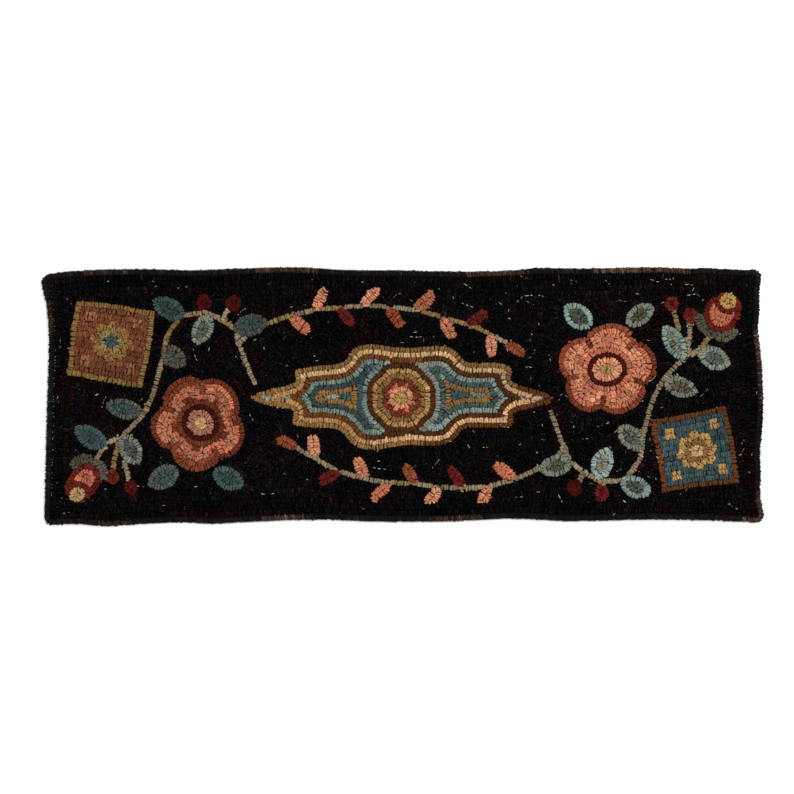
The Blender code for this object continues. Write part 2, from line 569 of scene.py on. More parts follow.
@dataclass(frozen=True, kw_only=True)
class Block:
    """A quilt block: a small eight-lobed flower and four corner squares on a square."""

    x: float
    y: float
    turn: float
    edge: Wools
    square: Wools
    corners: Wools
    flower: tuple[Wools, ...]
    half: float = 46.0
    flower_radius: float = 24.0
    flower_dip: float = 5.0
    corner_reach: float = 27.0
    corner_half: float = 6.2

    def patches(self) -> list[Patch]:
        """Draws the block.

        Returns:
            Its areas, the uppermost first.
        """
        place = {"x": self.x, "y": self.y, "turn": self.turn}
        flower = Scallop(**place, radius=self.flower_radius, lobes=8, dip=self.flower_dip)
        found = [Patch(shape=flower, rows=self.flower, part=Part.BLOCKS, graded=True)]
        cosine, sine = heading_of(self.turn)
        for u, v in ((1, 1), (-1, 1), (-1, -1), (1, -1)):
            along, across = u * self.corner_reach, v * self.corner_reach
            small = Square(
                x=self.x + along * cosine - across * sine, y=self.y + along * sine + across * cosine,
                turn=self.turn, half=self.corner_half, corner=1.0,
            )
            found.append(Patch(shape=small, rows=(self.corners,), part=Part.BLOCKS, laid=Laid.STRAIGHT))
        border = self.half - ROW_PITCH / 2
        for quarter in range(4):
            side = np.array(heading_of(self.turn + 90 * quarter))
            along = np.array([-side[1], side[0]])
            border_row = Stem(widest=ROW_PITCH, points=tuple(
                tuple(np.array([self.x, self.y]) + border * side + reach * along)
                for reach in (-border - ROW_PITCH / 2, 0.0, border - ROW_PITCH / 2)
            ))
            found.append(Patch(shape=border_row, rows=(self.edge,), part=Part.BLOCKS, laid=Laid.ONE_ROW))
        inner = Square(**place, half=self.half - ROW_PITCH, corner=0.5)
        return [*found, Patch(shape=inner, rows=(self.square,), part=Part.BLOCKS, laid=Laid.STRAIGHT)]


@dataclass(frozen=True, kw_only=True)
class Medallion:
    """The middle of the design: a long wavy lozenge of one-row stripes round a small flower."""

    half_length: float = 168.0
    half_width: float = 64.0
    waves: int = 10
    swing: float = 0.085
    fullness: float = 1.35
    flower_radius: float = 26.0
    flower_dip: float = 5.0
    eye_radius: float = 8.0
    stripes: tuple[Wools, ...] = (
        (Wool.OCHRE, Wool.BROWN),
        (Wool.CREAM, Wool.GOLD),
        (Wool.BROWN, Wool.UMBER),
        (Wool.PALE_TEAL, Wool.MIST),
        (Wool.TEAL, Wool.DEEP_TEAL, Wool.SLATE),
        (Wool.STRAW, Wool.OCHRE),
        (Wool.SLATE, Wool.TEAL),
        (Wool.PALE_TEAL, Wool.MIST),
        (Wool.TEAL, Wool.BLUE),
    )

    def patches(self) -> list[Patch]:
        """Draws the medallion.

        Returns:
            Its areas, the uppermost first.
        """
        place = {"x": 0.0, "y": 0.0}
        eye = Oval(**place, half_length=self.eye_radius, half_width=self.eye_radius)
        flower = Scallop(**place, turn=22.5, radius=self.flower_radius, lobes=8, dip=self.flower_dip)
        lozenge = Lozenge(
            **place, half_length=self.half_length, half_width=self.half_width,
            waves=self.waves, swing=self.swing, fullness=self.fullness,
        )
        petals = ((Wool.RUST,), (Wool.CORAL,), (Wool.PEACH,))
        return [
            Patch(shape=eye, rows=((Wool.GOLD,),), part=Part.MEDALLION),
            Patch(shape=flower, rows=petals, part=Part.MEDALLION, graded=True),
            Patch(shape=lozenge, rows=self.stripes, part=Part.MEDALLION),
        ]


@dataclass(frozen=True, kw_only=True)
class Leaf:
    """A leaf of two or three rows."""

    x: float
    y: float
    turn: float
    rows: tuple[Wools, ...]
    length: float = 42.0
    half_width: float = 13.2

    def patches(self) -> list[Patch]:
        """Gives the leaf's one area."""
        blade = Blade(x=self.x, y=self.y, turn=self.turn, length=self.length, half_width=self.half_width)
        return [Patch(shape=blade, rows=self.rows, part=Part.LEAVES)]


@dataclass(frozen=True, kw_only=True)
class Bud:
    """A small blunt bud, or a berry where it is round."""

    x: float
    y: float
    rows: tuple[Wools, ...]
    turn: float = 0.0
    half_length: float = 14.0
    half_width: float = 7.0

    BLUNT = 2.7
    ROUND = 2.0

    def patches(self) -> list[Patch]:
        """Draws the bud.

        Returns:
            Its one area.
        """
        oval = Oval(
            x=self.x, y=self.y, turn=self.turn, half_length=self.half_length, half_width=self.half_width,
            fullness=self.BLUNT if self.half_length > self.half_width else self.ROUND,
        )
        return [Patch(shape=oval, rows=self.rows, part=Part.BUDS)]


@dataclass(frozen=True, kw_only=True)
class Tulip:
    """A closed flower at the end of a stem: red sides, a pale middle and two green sepals.

    Its shares are shares of its length, from the stem.
    """

    x: float
    y: float
    turn: float
    length: float = 56.0
    half_width: float = 20.0
    cup_at: float = 0.55
    cup_half: float = 0.45
    heart_at: float = 0.84
    heart_half_length: float = 10.0
    heart_half_width: float = 9.6
    sepal_length: float = 30.0
    sepal_half_width: float = 9.4
    sepal_spread: float = 58.0

    def on_axis(self, share: float) -> dict[str, float]:
        """Finds a place on the flower's axis.

        Args:
            share: The share of the flower's length that it lies at.

        Returns:
            The place's X and Y, and the flower's turn.
        """
        x, y = heading_of(self.turn)
        reach = share * self.length
        return {"x": self.x + reach * x, "y": self.y + reach * y, "turn": self.turn}

    def patches(self) -> list[Patch]:
        """Draws the flower.

        Returns:
            Its areas, the uppermost first.
        """
        heart = Oval(
            **self.on_axis(self.heart_at),
            half_length=self.heart_half_length, half_width=self.heart_half_width,
        )
        cup = Oval(
            **self.on_axis(self.cup_at), half_length=self.cup_half * self.length, half_width=self.half_width
        )
        sides = ((Wool.RED, Wool.MAROON), (Wool.CORAL,), (Wool.CORAL, Wool.BLUSH))
        found = [
            Patch(shape=heart, rows=((Wool.GOLD, Wool.CREAM),), part=Part.BUDS),
            Patch(shape=cup, rows=sides, part=Part.BUDS),
        ]
        for spread in (-self.sepal_spread, self.sepal_spread):
            found += Leaf(
                x=self.x, y=self.y, turn=self.turn + spread, length=self.sepal_length,
                half_width=self.sepal_half_width, rows=((Wool.GREY_SAGE,), (Wool.SAGE,)),
            ).patches()
        return found


@dataclass(frozen=True, kw_only=True)
class Half:
    """One half of the design. The other is the same turned half way round, in some other wools."""

    sign: int
    block: Block
    petals: tuple[Wools, ...]
    heart: Wools
    greens: tuple[tuple[Wools, ...], ...]
    twig_buds: int = 10
    bud_lean: float = 52.0
    bud_stalk: float = 16.5
    tip_stalk: float = 9.0
    berry_radius: float = 9.4

    TWIG = (
        (198, -62), (170, -84), (128, -100), (76, -108), (20, -107), (-36, -100), (-86, -84), (-132, -58)
    )
    TWIG_WOOLS = ((Wool.CORAL,), (Wool.ROSE,), (Wool.RED,), (Wool.PEACH,), (Wool.TERRACOTTA,))
    VINE = (
        (176, -14), (188, -46), (203, -81), (232, -100), (264, -99), (286, -74), (293, -38), (300, -6),
        (314, 24), (336, 46), (358, 58), (378, 82),
    )

    def at(self, x: float, y: float) -> dict[str, float]:
        """Gives a place of the right half in this one."""
        return {"x": self.sign * x, "y": self.sign * y}

    def facing(self, turn: float) -> float:
        """Gives a turn of the right half in this one."""
        return turn if self.sign > 0 else turn + 180.0

    def path(self, *points: tuple[float, float]) -> Patch:
        """Gives a stem through points of the right half."""
        stem = Stem(points=tuple((self.sign * x, self.sign * y) for x, y in points))
        return Patch(shape=stem, rows=((Wool.STEM,) * 3 + (Wool.STRAW,),), part=Part.VINE, laid=Laid.ONE_ROW)

    def sprig(self) -> list[Patch]:
        """Draws the budded twig that runs along the medallion's side.

        Returns:
            Its buds, then the twig itself.
        """
        twig = self.path(*self.TWIG)
        line = twig.shape.line()
        found = []
        for number, share in enumerate(np.linspace(0.20, 0.99, self.twig_buds)):
            place = round(share * (len(line) - 1))
            heading = line[min(place + 4, len(line) - 1)] - line[place - 4]
            tip = number == self.twig_buds - 1
            lean = math.degrees(math.atan2(heading[1], heading[0]))
            lean += 0 if tip else (1 if number % 2 else -1) * self.bud_lean
            middle = line[place] + (self.tip_stalk if tip else self.bud_stalk) * np.array(heading_of(lean))
            wool = self.TWIG_WOOLS[number % len(self.TWIG_WOOLS)]
            found += Bud(x=middle[0], y=middle[1], turn=lean, rows=(wool,)).patches()
        return [*found, twig]

    def berries(self, *places: tuple[float, float, float, float]) -> list[Patch]:
        """Draws berries on stalks.

        Args:
            places: For each, X and Y where its stalk leaves the stem, and X and Y of its middle.

        Returns:
            The berries, then their stalks.
        """
        size = {"half_length": self.berry_radius, "half_width": self.berry_radius}
        rows = ((Wool.BERRY, Wool.BERRY, Wool.RED),)
        found = [patch for *_, x, y in places for patch in Bud(**self.at(x, y), **size, rows=rows).patches()]
        for from_x, from_y, x, y in places:
            found.append(self.path((from_x, from_y), ((from_x + x) / 2 + 2, (from_y + y) / 2), (x, y)))
        return found

    def patches(self) -> list[Patch]:
        """Draws the half.

        Returns:
            Its areas, the uppermost first.
        """
        rosette = Rosette(**self.at(246, 32), turn=self.facing(12), rows=self.petals, heart=self.heart)
        found = rosette.patches() + self.block.patches()
        found += Tulip(**self.at(374, 74), turn=self.facing(66)).patches()
        teal, sage, blue, grey = self.greens
        leaves = (
            (203, -82, -170, 40, sage), (232, -100, 64, 42, teal), (262, -101, -21, 42, blue),
            (292, -60, 140, 38, grey), (312, 18, -14, 44, sage), (338, 47, 122, 42, teal),
            (356, 56, -22, 43, blue), (228, 88, 150, 40, blue), (268, 88, 28, 40, sage),
        )
        for x, y, turn, length, rows in leaves:
            found += Leaf(**self.at(x, y), turn=self.facing(turn), length=length, rows=rows).patches()
        found += self.berries(
            (340, 50, 350, 96), (338, 48, 326, 110), (216, -92, 204, -111), (234, -99, 238, -115)
        )
        return [*found, *self.sprig(), self.path(*self.VINE)]


def drawing() -> list[Patch]:
    """Draws the whole design.

    Returns:
        Every area of its motifs, the uppermost first.
    """
    slate = Block(
        x=352, y=-65, turn=9, edge=(Wool.BROWN,), square=(Wool.SLATE, Wool.SLATE, Wool.BLUE),
        corners=(Wool.GOLD,), flower=((Wool.GOLD, Wool.STRAW), (Wool.OCHRE,), (Wool.CREAM,)),
    )
    brick = Block(
        x=-352, y=65, turn=-8, edge=(Wool.OCHRE,), square=(Wool.BRICK,),
        corners=(Wool.TAN,), flower=((Wool.OCHRE,), (Wool.STRAW,), (Wool.TEAL,)),
    )
    right = Half(
        sign=1,
        block=slate,
        petals=(
            (Wool.TERRACOTTA, Wool.RUST), (Wool.CORAL,), (Wool.PEACH, Wool.ROSE), (Wool.ROSE,), (Wool.CORAL,)
        ),
        heart=(Wool.PEACH,),
        greens=(
            ((Wool.PALE_TEAL,), (Wool.MIST, Wool.PALE_TEAL)), ((Wool.MIST,), (Wool.GREY_SAGE,)),
            ((Wool.PALE_TEAL, Wool.MIST), (Wool.SAGE,)), ((Wool.MIST, Wool.GREY_SAGE), (Wool.SAGE,)),
        ),
    )
    left = Half(
        sign=-1,
        block=brick,
        petals=(
            (Wool.RUST,), (Wool.CORAL, Wool.TERRACOTTA), (Wool.CORAL, Wool.BLUSH), (Wool.CORAL,), (Wool.RUST,)
        ),
        heart=(Wool.CORAL, Wool.BLUSH),
        greens=(
            ((Wool.MIST,), (Wool.SAGE,)), ((Wool.SAGE,), (Wool.TEAL,)),
            ((Wool.TEAL,), (Wool.DEEP_TEAL, Wool.BLUE)), ((Wool.GREY_SAGE,), (Wool.SAGE,)),
        ),
    )
    return [*Medallion().patches(), *right.patches(), *left.patches()]


GROUND_WOOLS = (Wool.BLACK,) * 7 + (Wool.PLUM_BLACK,) * 2 + (Wool.BARK_BLACK, Wool.INK)


@dataclass
class Row:
    """One row of loops: its middle line, whether that is closed, its wools, its piece and its area.

    The line's points may hold two more columns: how far a loop may reach to its right and to its left.
    """

    line: np.ndarray
    closed: bool
    wools: Wools
    part: Part
    area: int = -1


def blended(values: Grid, i: Grid, j: Grid, u: Grid, v: Grid) -> Grid:
    """Reads a grid between its points.

    Args:
        values: The grid.
        i: The column to the left of each place.
        j: The row below it.
        u: How far past the column the place is, as a share of a step.
        v: How far past the row.

    Returns:
        The value at each place, in proportion between its four neighbours.
    """
    return (
        values[j, i] * (1 - u) * (1 - v)
        + values[j, i + 1] * u * (1 - v)
        + values[j + 1, i] * (1 - u) * v
        + values[j + 1, i + 1] * u * v
    )


def zero_points(values: Grid, xs: np.ndarray, ys: np.ndarray) -> np.ndarray:
    """Finds where the lines of a grid pass through zero.

    Args:
        values: The grid, with a row for each of ys and a column for each of xs.
        xs: The columns' places.
        ys: The rows' places.

    Returns:
        One crossing a row, as X and Y.
    """
    found = []
    for right, up in ((1, 0), (0, 1)):
        near = values[: len(ys) - up, : len(xs) - right]
        far = values[up:, right:]
        rows, columns = np.nonzero((near > 0) != (far > 0))
        before, after = near[rows, columns], far[rows, columns]
        share = before / (before - after) * GRID_STEP
        found.append(np.column_stack([xs[columns] + share * right, ys[rows] + share * up]))
    return np.vstack(found)


def level_lines(values: Grid, level: float, xs: np.ndarray, ys: np.ndarray) -> list[np.ndarray]:
    """Follows the closed lines where a grid has one value.

    Args:
        values: The grid, lower than the level all along its rim.
        level: The value to follow.
        xs: The columns' places.
        ys: The rows' places.

    Returns:
        The closed lines, each with one point a row.
    """
    above = values > level
    corner = above[:-1, :-1]
    mixed = (corner != above[:-1, 1:]) | (corner != above[1:, 1:]) | (corner != above[1:, :-1])
    links: dict[tuple[int, int, int], list[tuple[int, int, int]]] = {}
    for j, i in zip(*(found.tolist() for found in np.nonzero(mixed))):
        sides = (
            ((0, j, i), above[j, i] != above[j, i + 1]),
            ((1, j, i + 1), above[j, i + 1] != above[j + 1, i + 1]),
            ((0, j + 1, i), above[j + 1, i + 1] != above[j + 1, i]),
            ((1, j, i), above[j + 1, i] != above[j, i]),
        )
        crossed = [side for side, changes in sides if changes]
        for one, other in zip(crossed[::2], crossed[1::2]):
            links.setdefault(one, []).append(other)
            links.setdefault(other, []).append(one)
    lines = []
    while links:
        start = here = next(iter(links))
        points = []
        while here in links:
            axis, j, i = here
            before, after = values[j, i], values[j + axis, i + 1 - axis]
            share = (level - before) / (after - before) * GRID_STEP
            points.append((xs[i] + share * (1 - axis), ys[j] + share * axis))
            onward = [side for side in links.pop(here) if side in links]
            here = onward[0] if onward else start
        lines.append(np.array(points))
    return lines


class Canvas:
    """The rug's field as a grid of places, with how far inside the field each of them is."""

    FOOT_BELOW = 0.1
    MARGIN = 12.0
    OUTLINE_STEP = 0.7
    BEARING_STEP = 0.5
    SWAYS = (((1.9, 31, 47, 0.6), (1.2, -58, 19, 2.1)), ((1.7, 27, -41, 1.4), (1.3, 63, 17, 0.2)))
    UNDOING_PASSES = 3

    def __init__(self, field_node: bpy.types.Object) -> None:
        """Reads the field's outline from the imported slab.

        Args:
            field_node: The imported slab.
        """
        foot = {
            (round(v.co.x / MM, 3), round(v.co.y / MM, 3))
            for v in field_node.data.vertices if v.co.z < self.FOOT_BELOW * MM
        }
        rim = np.array(sorted(foot, key=lambda p: math.atan2(p[1], p[0])))
        low, high = rim.min(axis=0) - self.MARGIN, rim.max(axis=0) + self.MARGIN
        self.xs = np.arange(math.floor(low[0]), math.ceil(high[0]) + 1, GRID_STEP)
        self.ys = np.arange(math.floor(low[1]), math.ceil(high[1]) + 1, GRID_STEP)
        self.x, self.y = np.meshgrid(self.xs, self.ys)
        finely = resampled(rim, True, self.BEARING_STEP)
        bearing, radii = np.arctan2(finely[:, 1], finely[:, 0]), np.hypot(*finely.T)
        order = np.argsort(bearing)
        reach = np.interp(np.arctan2(self.y, self.x), bearing[order], radii[order], period=2 * math.pi)
        within = np.hypot(self.x, self.y) < reach
        places = np.column_stack([self.x.ravel(), self.y.ravel()])
        away = nearest(resampled(rim, True, self.OUTLINE_STEP), places).reshape(self.x.shape)
        self.inside = np.where(within, away, -away)

    def wobbled(self, x: np.ndarray, y: np.ndarray) -> list[np.ndarray]:
        """Moves places a little, as a hand-drawn design strays from a ruled one.

        Args:
            x: The places' X on the rug.
            y: Their Y.

        Returns:
            Their X and Y in the drawing.
        """
        moved = [x, y]
        for axis, waves in enumerate(self.SWAYS):
            for height, across, up, shift in waves:
                moved[axis] = moved[axis] + height * np.sin(x / across + y / up + shift)
        return moved

    def unwobbled(self, line: np.ndarray) -> np.ndarray:
        """Finds where the points of a drawn line end up on the rug.

        Args:
            line: The points in the drawing, one a row.

        Returns:
            The points on the rug.
        """
        found = line.copy()
        for _ in range(self.UNDOING_PASSES):
            found += line - np.column_stack(self.wobbled(*found.T))
        return found

    def sample(self, values: Grid, points: np.ndarray) -> np.ndarray:
        """Reads a whole grid at any places.

        Args:
            values: The grid.
            points: The places, one a row.

        Returns:
            One value for each place.
        """
        across = np.clip((points[:, 0] - self.xs[0]) / GRID_STEP, 0, len(self.xs) - 1.001)
        up = np.clip((points[:, 1] - self.ys[0]) / GRID_STEP, 0, len(self.ys) - 1.001)
        i, j = across.astype(int), up.astype(int)
        return blended(values, i, j, across - i, up - j)


class Hooking:
    """Turns the drawing into rows of loops. Lengths are in millimetres, and shares are of a row's pitch."""

    GROUND = -1
    FAR = 99.0
    MARGIN = 8.0
    OUTLINE_SLACK = 0.8
    GAP_WORTH_A_ROW = 0.70
    GAP_GOES_ON = 0.93
    WALL_CLEARANCE = 0.40
    STEM_CLEARANCE = 0.22
    STRAIGHT_CLEARANCE = 0.3
    END_CLEARANCE = 0.25
    RIM_ROWS = 2
    SHORTEST_ROUND = 9.0
    SHORTEST_STRETCH = 5
    SHORTEST_PIECE = 3
    ROOM_STEP = 0.25
    STRAIGHT_STEP = 0.5
    STRAIGHT_SWAY = (0.5, 9.0, 1.7)
    ECHO_STEP = 1.2
    PITCH_STRAY = 0.09
    MOST_STEPS = 400
    BENDS = (-0.75, -0.5, -0.25, 0.0, 0.25, 0.5, 0.75)
    BEND_COST = 0.3
    TOO_NEAR = 0.8
    ROW_WIDTH = 0.78
    LOOK_AROUND = 2.5
    HEADINGS = 12
    TAIL = 0.1

    def __init__(self, canvas: Canvas) -> None:
        """Starts with nothing hooked.

        Args:
            canvas: The field to hook.
        """
        self.canvas = canvas
        self.cover = np.full(canvas.x.shape, np.inf)
        self.areas = np.full(canvas.x.shape, self.GROUND)
        self.hooked = 0
        self.rows: list[Row] = []

    def hook(self, patch: Patch) -> None:
        """Adds the rows of one area, where nothing hooked before covers it.

        Args:
            patch: The area.
        """
        canvas = self.canvas
        low_x, high_x, low_y, high_y = patch.shape.box()
        columns = slice(*np.searchsorted(canvas.xs, (low_x - self.MARGIN, high_x + self.MARGIN)))
        lines = slice(*np.searchsorted(canvas.ys, (low_y - self.MARGIN, high_y + self.MARGIN)))
        x, y = canvas.wobbled(canvas.x[lines, columns], canvas.y[lines, columns])
        rim = self.RIM_ROWS * ROW_PITCH - canvas.inside[lines, columns]
        own = np.maximum(patch.shape.depth(x, y), rim)
        cover, areas = self.cover[lines, columns], self.areas[lines, columns]
        self.hooked += 1
        before = len(self.rows)
        if patch.laid is Laid.ONE_ROW:
            self.follow(patch, canvas.unwobbled(patch.shape.line()))
        elif patch.laid is Laid.STRAIGHT:
            self.cross(patch)
        else:
            seen = np.maximum(own, -cover)
            made = self.echo(seen, canvas.xs[columns], canvas.ys[lines], patch.rows, patch.part)
            if patch.graded:
                made = [piece for row in made for piece in self.graded(row, patch)]
            for row in made:
                row.line = np.column_stack([row.line, self.room(patch.shape, row.line)])
            self.rows += made
        for row in self.rows[before:]:
            row.area = self.hooked
        areas[(cover > 0) & (own < np.minimum(cover, self.OUTLINE_SLACK))] = self.hooked
        np.minimum(cover, own, out=cover)

    def room(self, shape: Shape, line: np.ndarray) -> np.ndarray:
        """Measures how far the points of a row are from a shape's outline.

        Args:
            shape: The shape.
            line: The row's points on the rug.

        Returns:
            One row for each point, with its room to the right and to the left.
        """
        way = np.gradient(line, axis=0)
        way /= np.hypot(*way.T)[:, None]
        side = left_of(way)
        found = np.full((len(line), 2), Pile.WIDEST)
        for column, sign in enumerate((-1, 1)):
            for reach in np.arange(Pile.WIDEST, Pile.LEAST_REACH, -self.ROOM_STEP):
                x, y = self.canvas.wobbled(*(line + sign * reach * side).T)
                found[shape.depth(x, y) > 0, column] = reach
        return found

    def clearance(self, line: np.ndarray) -> np.ndarray:
        """Gives how far each point of a line is from what is hooked, below zero within it."""
        return self.canvas.sample(np.minimum(self.cover, self.FAR), line)

    def follow(self, patch: Patch, line: np.ndarray) -> None:
        """Adds one row along a stem, broken where something covers it."""
        free = self.clearance(line) > self.STEM_CLEARANCE * ROW_PITCH
        self.broken(line, free, patch, patch.rows[0])

    def broken(self, line: np.ndarray, free: np.ndarray, patch: Patch, wools: Wools) -> None:
        """Adds the stretches of one row that are free.

        Args:
            line: The row's points.
            free: Which of them are free.
            patch: The row's area.
            wools: Its wools.
        """
        ends = np.flatnonzero(np.diff(np.concatenate([[False], free, [False]]).astype(int)))
        wide = np.column_stack([line, self.room(patch.shape, line)])
        for start, end in zip(ends[::2], ends[1::2]):
            if end - start > self.SHORTEST_PIECE:
                self.rows.append(Row(wide[start:end], False, wools, patch.part))

    def cross(self, patch: Patch) -> None:
        """Adds straight rows from one side of a square to the other, broken where something covers it.

        Args:
            patch: The square's area.
        """
        shape = patch.shape
        cosine, sine = heading_of(shape.turn)
        count = max(1, round(2 * shape.half / ROW_PITCH))
        along = np.arange(-shape.reach, shape.reach, self.STRAIGHT_STEP)
        height, length, shift = self.STRAIGHT_SWAY
        for number in range(count):
            across = (number + 0.5) * 2 * shape.half / count - shape.half
            across = across + height * np.sin(along / length + shift * number)
            x = shape.x + along * cosine - across * sine
            y = shape.y + along * sine + across * cosine
            line = self.canvas.unwobbled(np.column_stack([x, y]))
            clear = self.clearance(line) > self.STRAIGHT_CLEARANCE * ROW_PITCH
            free = clear & (shape.depth(x, y) < -self.END_CLEARANCE * LOOP_PITCH)
            wools = patch.rows[min(number, count - 1 - number, len(patch.rows) - 1)]
            self.broken(line, free, patch, wools)

    def echo(
        self, seen: Grid, xs: np.ndarray, ys: np.ndarray, rows: Sequence[Wools], part: Part
    ) -> list[Row]:
        """Adds rows that follow an area's outline, from the outside in, and fills what they leave.

        Args:
            seen: How far outside the area each place is, below zero inside it.
            xs: The columns' places.
            ys: The rows' places.
            rows: The wools of each row. The last goes on to the middle.
            part: The piece that the rows belong to.

        Returns:
            The added rows.
        """
        within = seen < 0
        if not within.any():
            return []
        x, y = np.meshgrid(xs, ys)
        wall = np.zeros(seen.shape)
        wall[within] = nearest(zero_points(seen, xs, ys), np.column_stack([x[within], y[within]]))
        pitch = self.fitted_pitch(wall.max())
        made: list[Row] = []
        number = 0
        while (number + 0.5) * pitch < wall.max():
            lines = level_lines(wall, (number + 0.5) * pitch, xs, ys)
            for line in lines:
                line = smoothed(resampled(line, True, self.ECHO_STEP), True, 2)
                if length_of(np.vstack([line, line[:1]])) > self.SHORTEST_ROUND:
                    made.append(Row(line, True, rows[min(number, len(rows) - 1)], part))
            number += 1
        return made + self.fill(wall, xs, ys, made, rows[min(number, len(rows) - 1)], part)

    def graded(self, row: Row, patch: Patch) -> list[Row]:
        """Splits a row where it runs from one depth of its shape to another, and dyes each stretch.

        Args:
            row: The row.
            patch: The area that it fills.

        Returns:
            The row itself where it stays at one depth, otherwise its stretches.
        """
        deep = -patch.shape.depth(*self.canvas.wobbled(*row.line.T)) / ROW_PITCH
        step = np.clip(deep, 0, len(patch.rows) - 1).astype(int)
        first = int(np.argmax(step != np.roll(step, 1))) if row.closed else 0
        line, step = np.roll(row.line, -first, axis=0), np.roll(step, -first)
        cuts = [0]
        for place in np.flatnonzero(np.diff(step)) + 1:
            if place - cuts[-1] >= self.SHORTEST_STRETCH:
                cuts.append(int(place))
        if len(cuts) == 1:
            row.wools = patch.rows[int(np.median(step))]
            return [row]
        return [
            Row(line[start:end], False, patch.rows[int(np.median(step[start:end]))], row.part)
            for start, end in zip(cuts, [*cuts[1:], len(line)])
            if end - start > 1
        ]

    def fitted_pitch(self, depth: float) -> float:
        """Gives the row pitch that fits an area's half width, if that is close to the usual one."""
        fitted = depth / max(1, round(depth / ROW_PITCH))
        return fitted if abs(fitted / ROW_PITCH - 1) < self.PITCH_STRAY else ROW_PITCH

    def fill(
        self, wall: Grid, xs: np.ndarray, ys: np.ndarray, made: list[Row], wools: Wools, part: Part
    ) -> list[Row]:
        """Finds the gaps that an area's rows leave wide enough, and gives short rows along them.

        Args:
            wall: How far inside the area each place is.
            xs: The columns' places.
            ys: The rows' places.
            made: The rows that the area has.
            wools: The wools of the short rows.
            part: Their piece.

        Returns:
            The short rows.
        """
        x, y = np.meshgrid(xs, ys)
        open_to = wall > self.WALL_CLEARANCE * ROW_PITCH
        if not open_to.any():
            return []
        clear = np.zeros(wall.shape)
        clear[open_to] = wall[open_to] + ROW_PITCH / 2
        if made:
            dense = np.vstack([resampled(row.line, row.closed, 1.0) for row in made])
            away = nearest(dense, np.column_stack([x[open_to], y[open_to]]))
            clear[open_to] = np.minimum(clear[open_to], away)
        least = self.GAP_WORTH_A_ROW * ROW_PITCH
        blocked = np.zeros(wall.shape, bool)

        def value(px: float, py: float) -> float:
            """Reads the clearance at a place, or zero where it is taken."""
            u, v = (px - xs[0]) / GRID_STEP, (py - ys[0]) / GRID_STEP
            i, j = int(u), int(v)
            if not (0 <= i < len(xs) - 1 and 0 <= j < len(ys) - 1) or blocked[round(v), round(u)]:
                return 0.0
            return blended(clear, i, j, u - i, v - j)

        def ahead(px: float, py: float, angle: float, step: float) -> tuple[float, float]:
            """Gives the place one step on."""
            return px + step * math.cos(angle), py + step * math.sin(angle)

        def onward(px: float, py: float, angle: float) -> list[tuple[float, float]]:
            """Follows the middle of a gap from a place until the gap closes."""
            found: list[tuple[float, float]] = []
            while len(found) < self.MOST_STEPS:
                angle += max(
                    (value(*ahead(px, py, angle + bend, LOOP_PITCH)) - self.BEND_COST * abs(bend), bend)
                    for bend in self.BENDS
                )[1]
                px, py = ahead(px, py, angle, LOOP_PITCH)
                if value(px, py) < self.GAP_GOES_ON * least:
                    break
                if any(math.hypot(px - qx, py - qy) < self.TOO_NEAR * LOOP_PITCH for qx, qy in found[:-1]):
                    break
                found.append((px, py))
            return found

        def width_along(angle: float) -> float:
            """Tells how open the gap is to both sides of the place in one direction."""
            there, back = (ahead(px, py, angle, way * self.LOOK_AROUND) for way in (1, -1))
            return value(*there) + value(*back)

        lines = []
        for place in np.argsort(-clear, axis=None)[: int((clear > least).sum())].tolist():
            j, i = divmod(place, len(xs))
            if blocked[j, i]:
                continue
            px, py = float(xs[i]), float(ys[j])
            angle = max((k * math.pi / self.HEADINGS for k in range(self.HEADINGS)), key=width_along)
            line = onward(px, py, angle + math.pi)[::-1] + [(px, py)] + onward(px, py, angle)
            for qx, qy in line:
                up, across = int(qy - ys[0]), int(qx - xs[0])
                near, beside = (slice(max(0, cell - 5), cell + 7) for cell in (up, across))
                taken = np.hypot(x[near, beside] - qx, y[near, beside] - qy) < self.ROW_WIDTH * ROW_PITCH
                blocked[near, beside] |= taken
            if len(line) == 1:
                line.append(ahead(px, py, angle, self.TAIL))
            lines.append(Row(np.array(line), False, wools, part))
        return lines

    def ground(self) -> None:
        """Adds straight rows along the rim, then rows that echo the motifs in all that is left."""
        canvas = self.canvas
        band = self.RIM_ROWS * ROW_PITCH
        rim = np.maximum(-canvas.inside, canvas.inside - band)
        rest = np.maximum(band - canvas.inside, -self.cover)
        for area in (rim, rest):
            self.rows += self.echo(area, canvas.xs, canvas.ys, (GROUND_WOOLS,), Part.GROUND_LEFT)


@dataclass
class Stations:
    """Places for repeated pieces: where each stands, its heading, its size and its colour."""

    place: np.ndarray
    heading: np.ndarray
    size: np.ndarray
    colour: np.ndarray


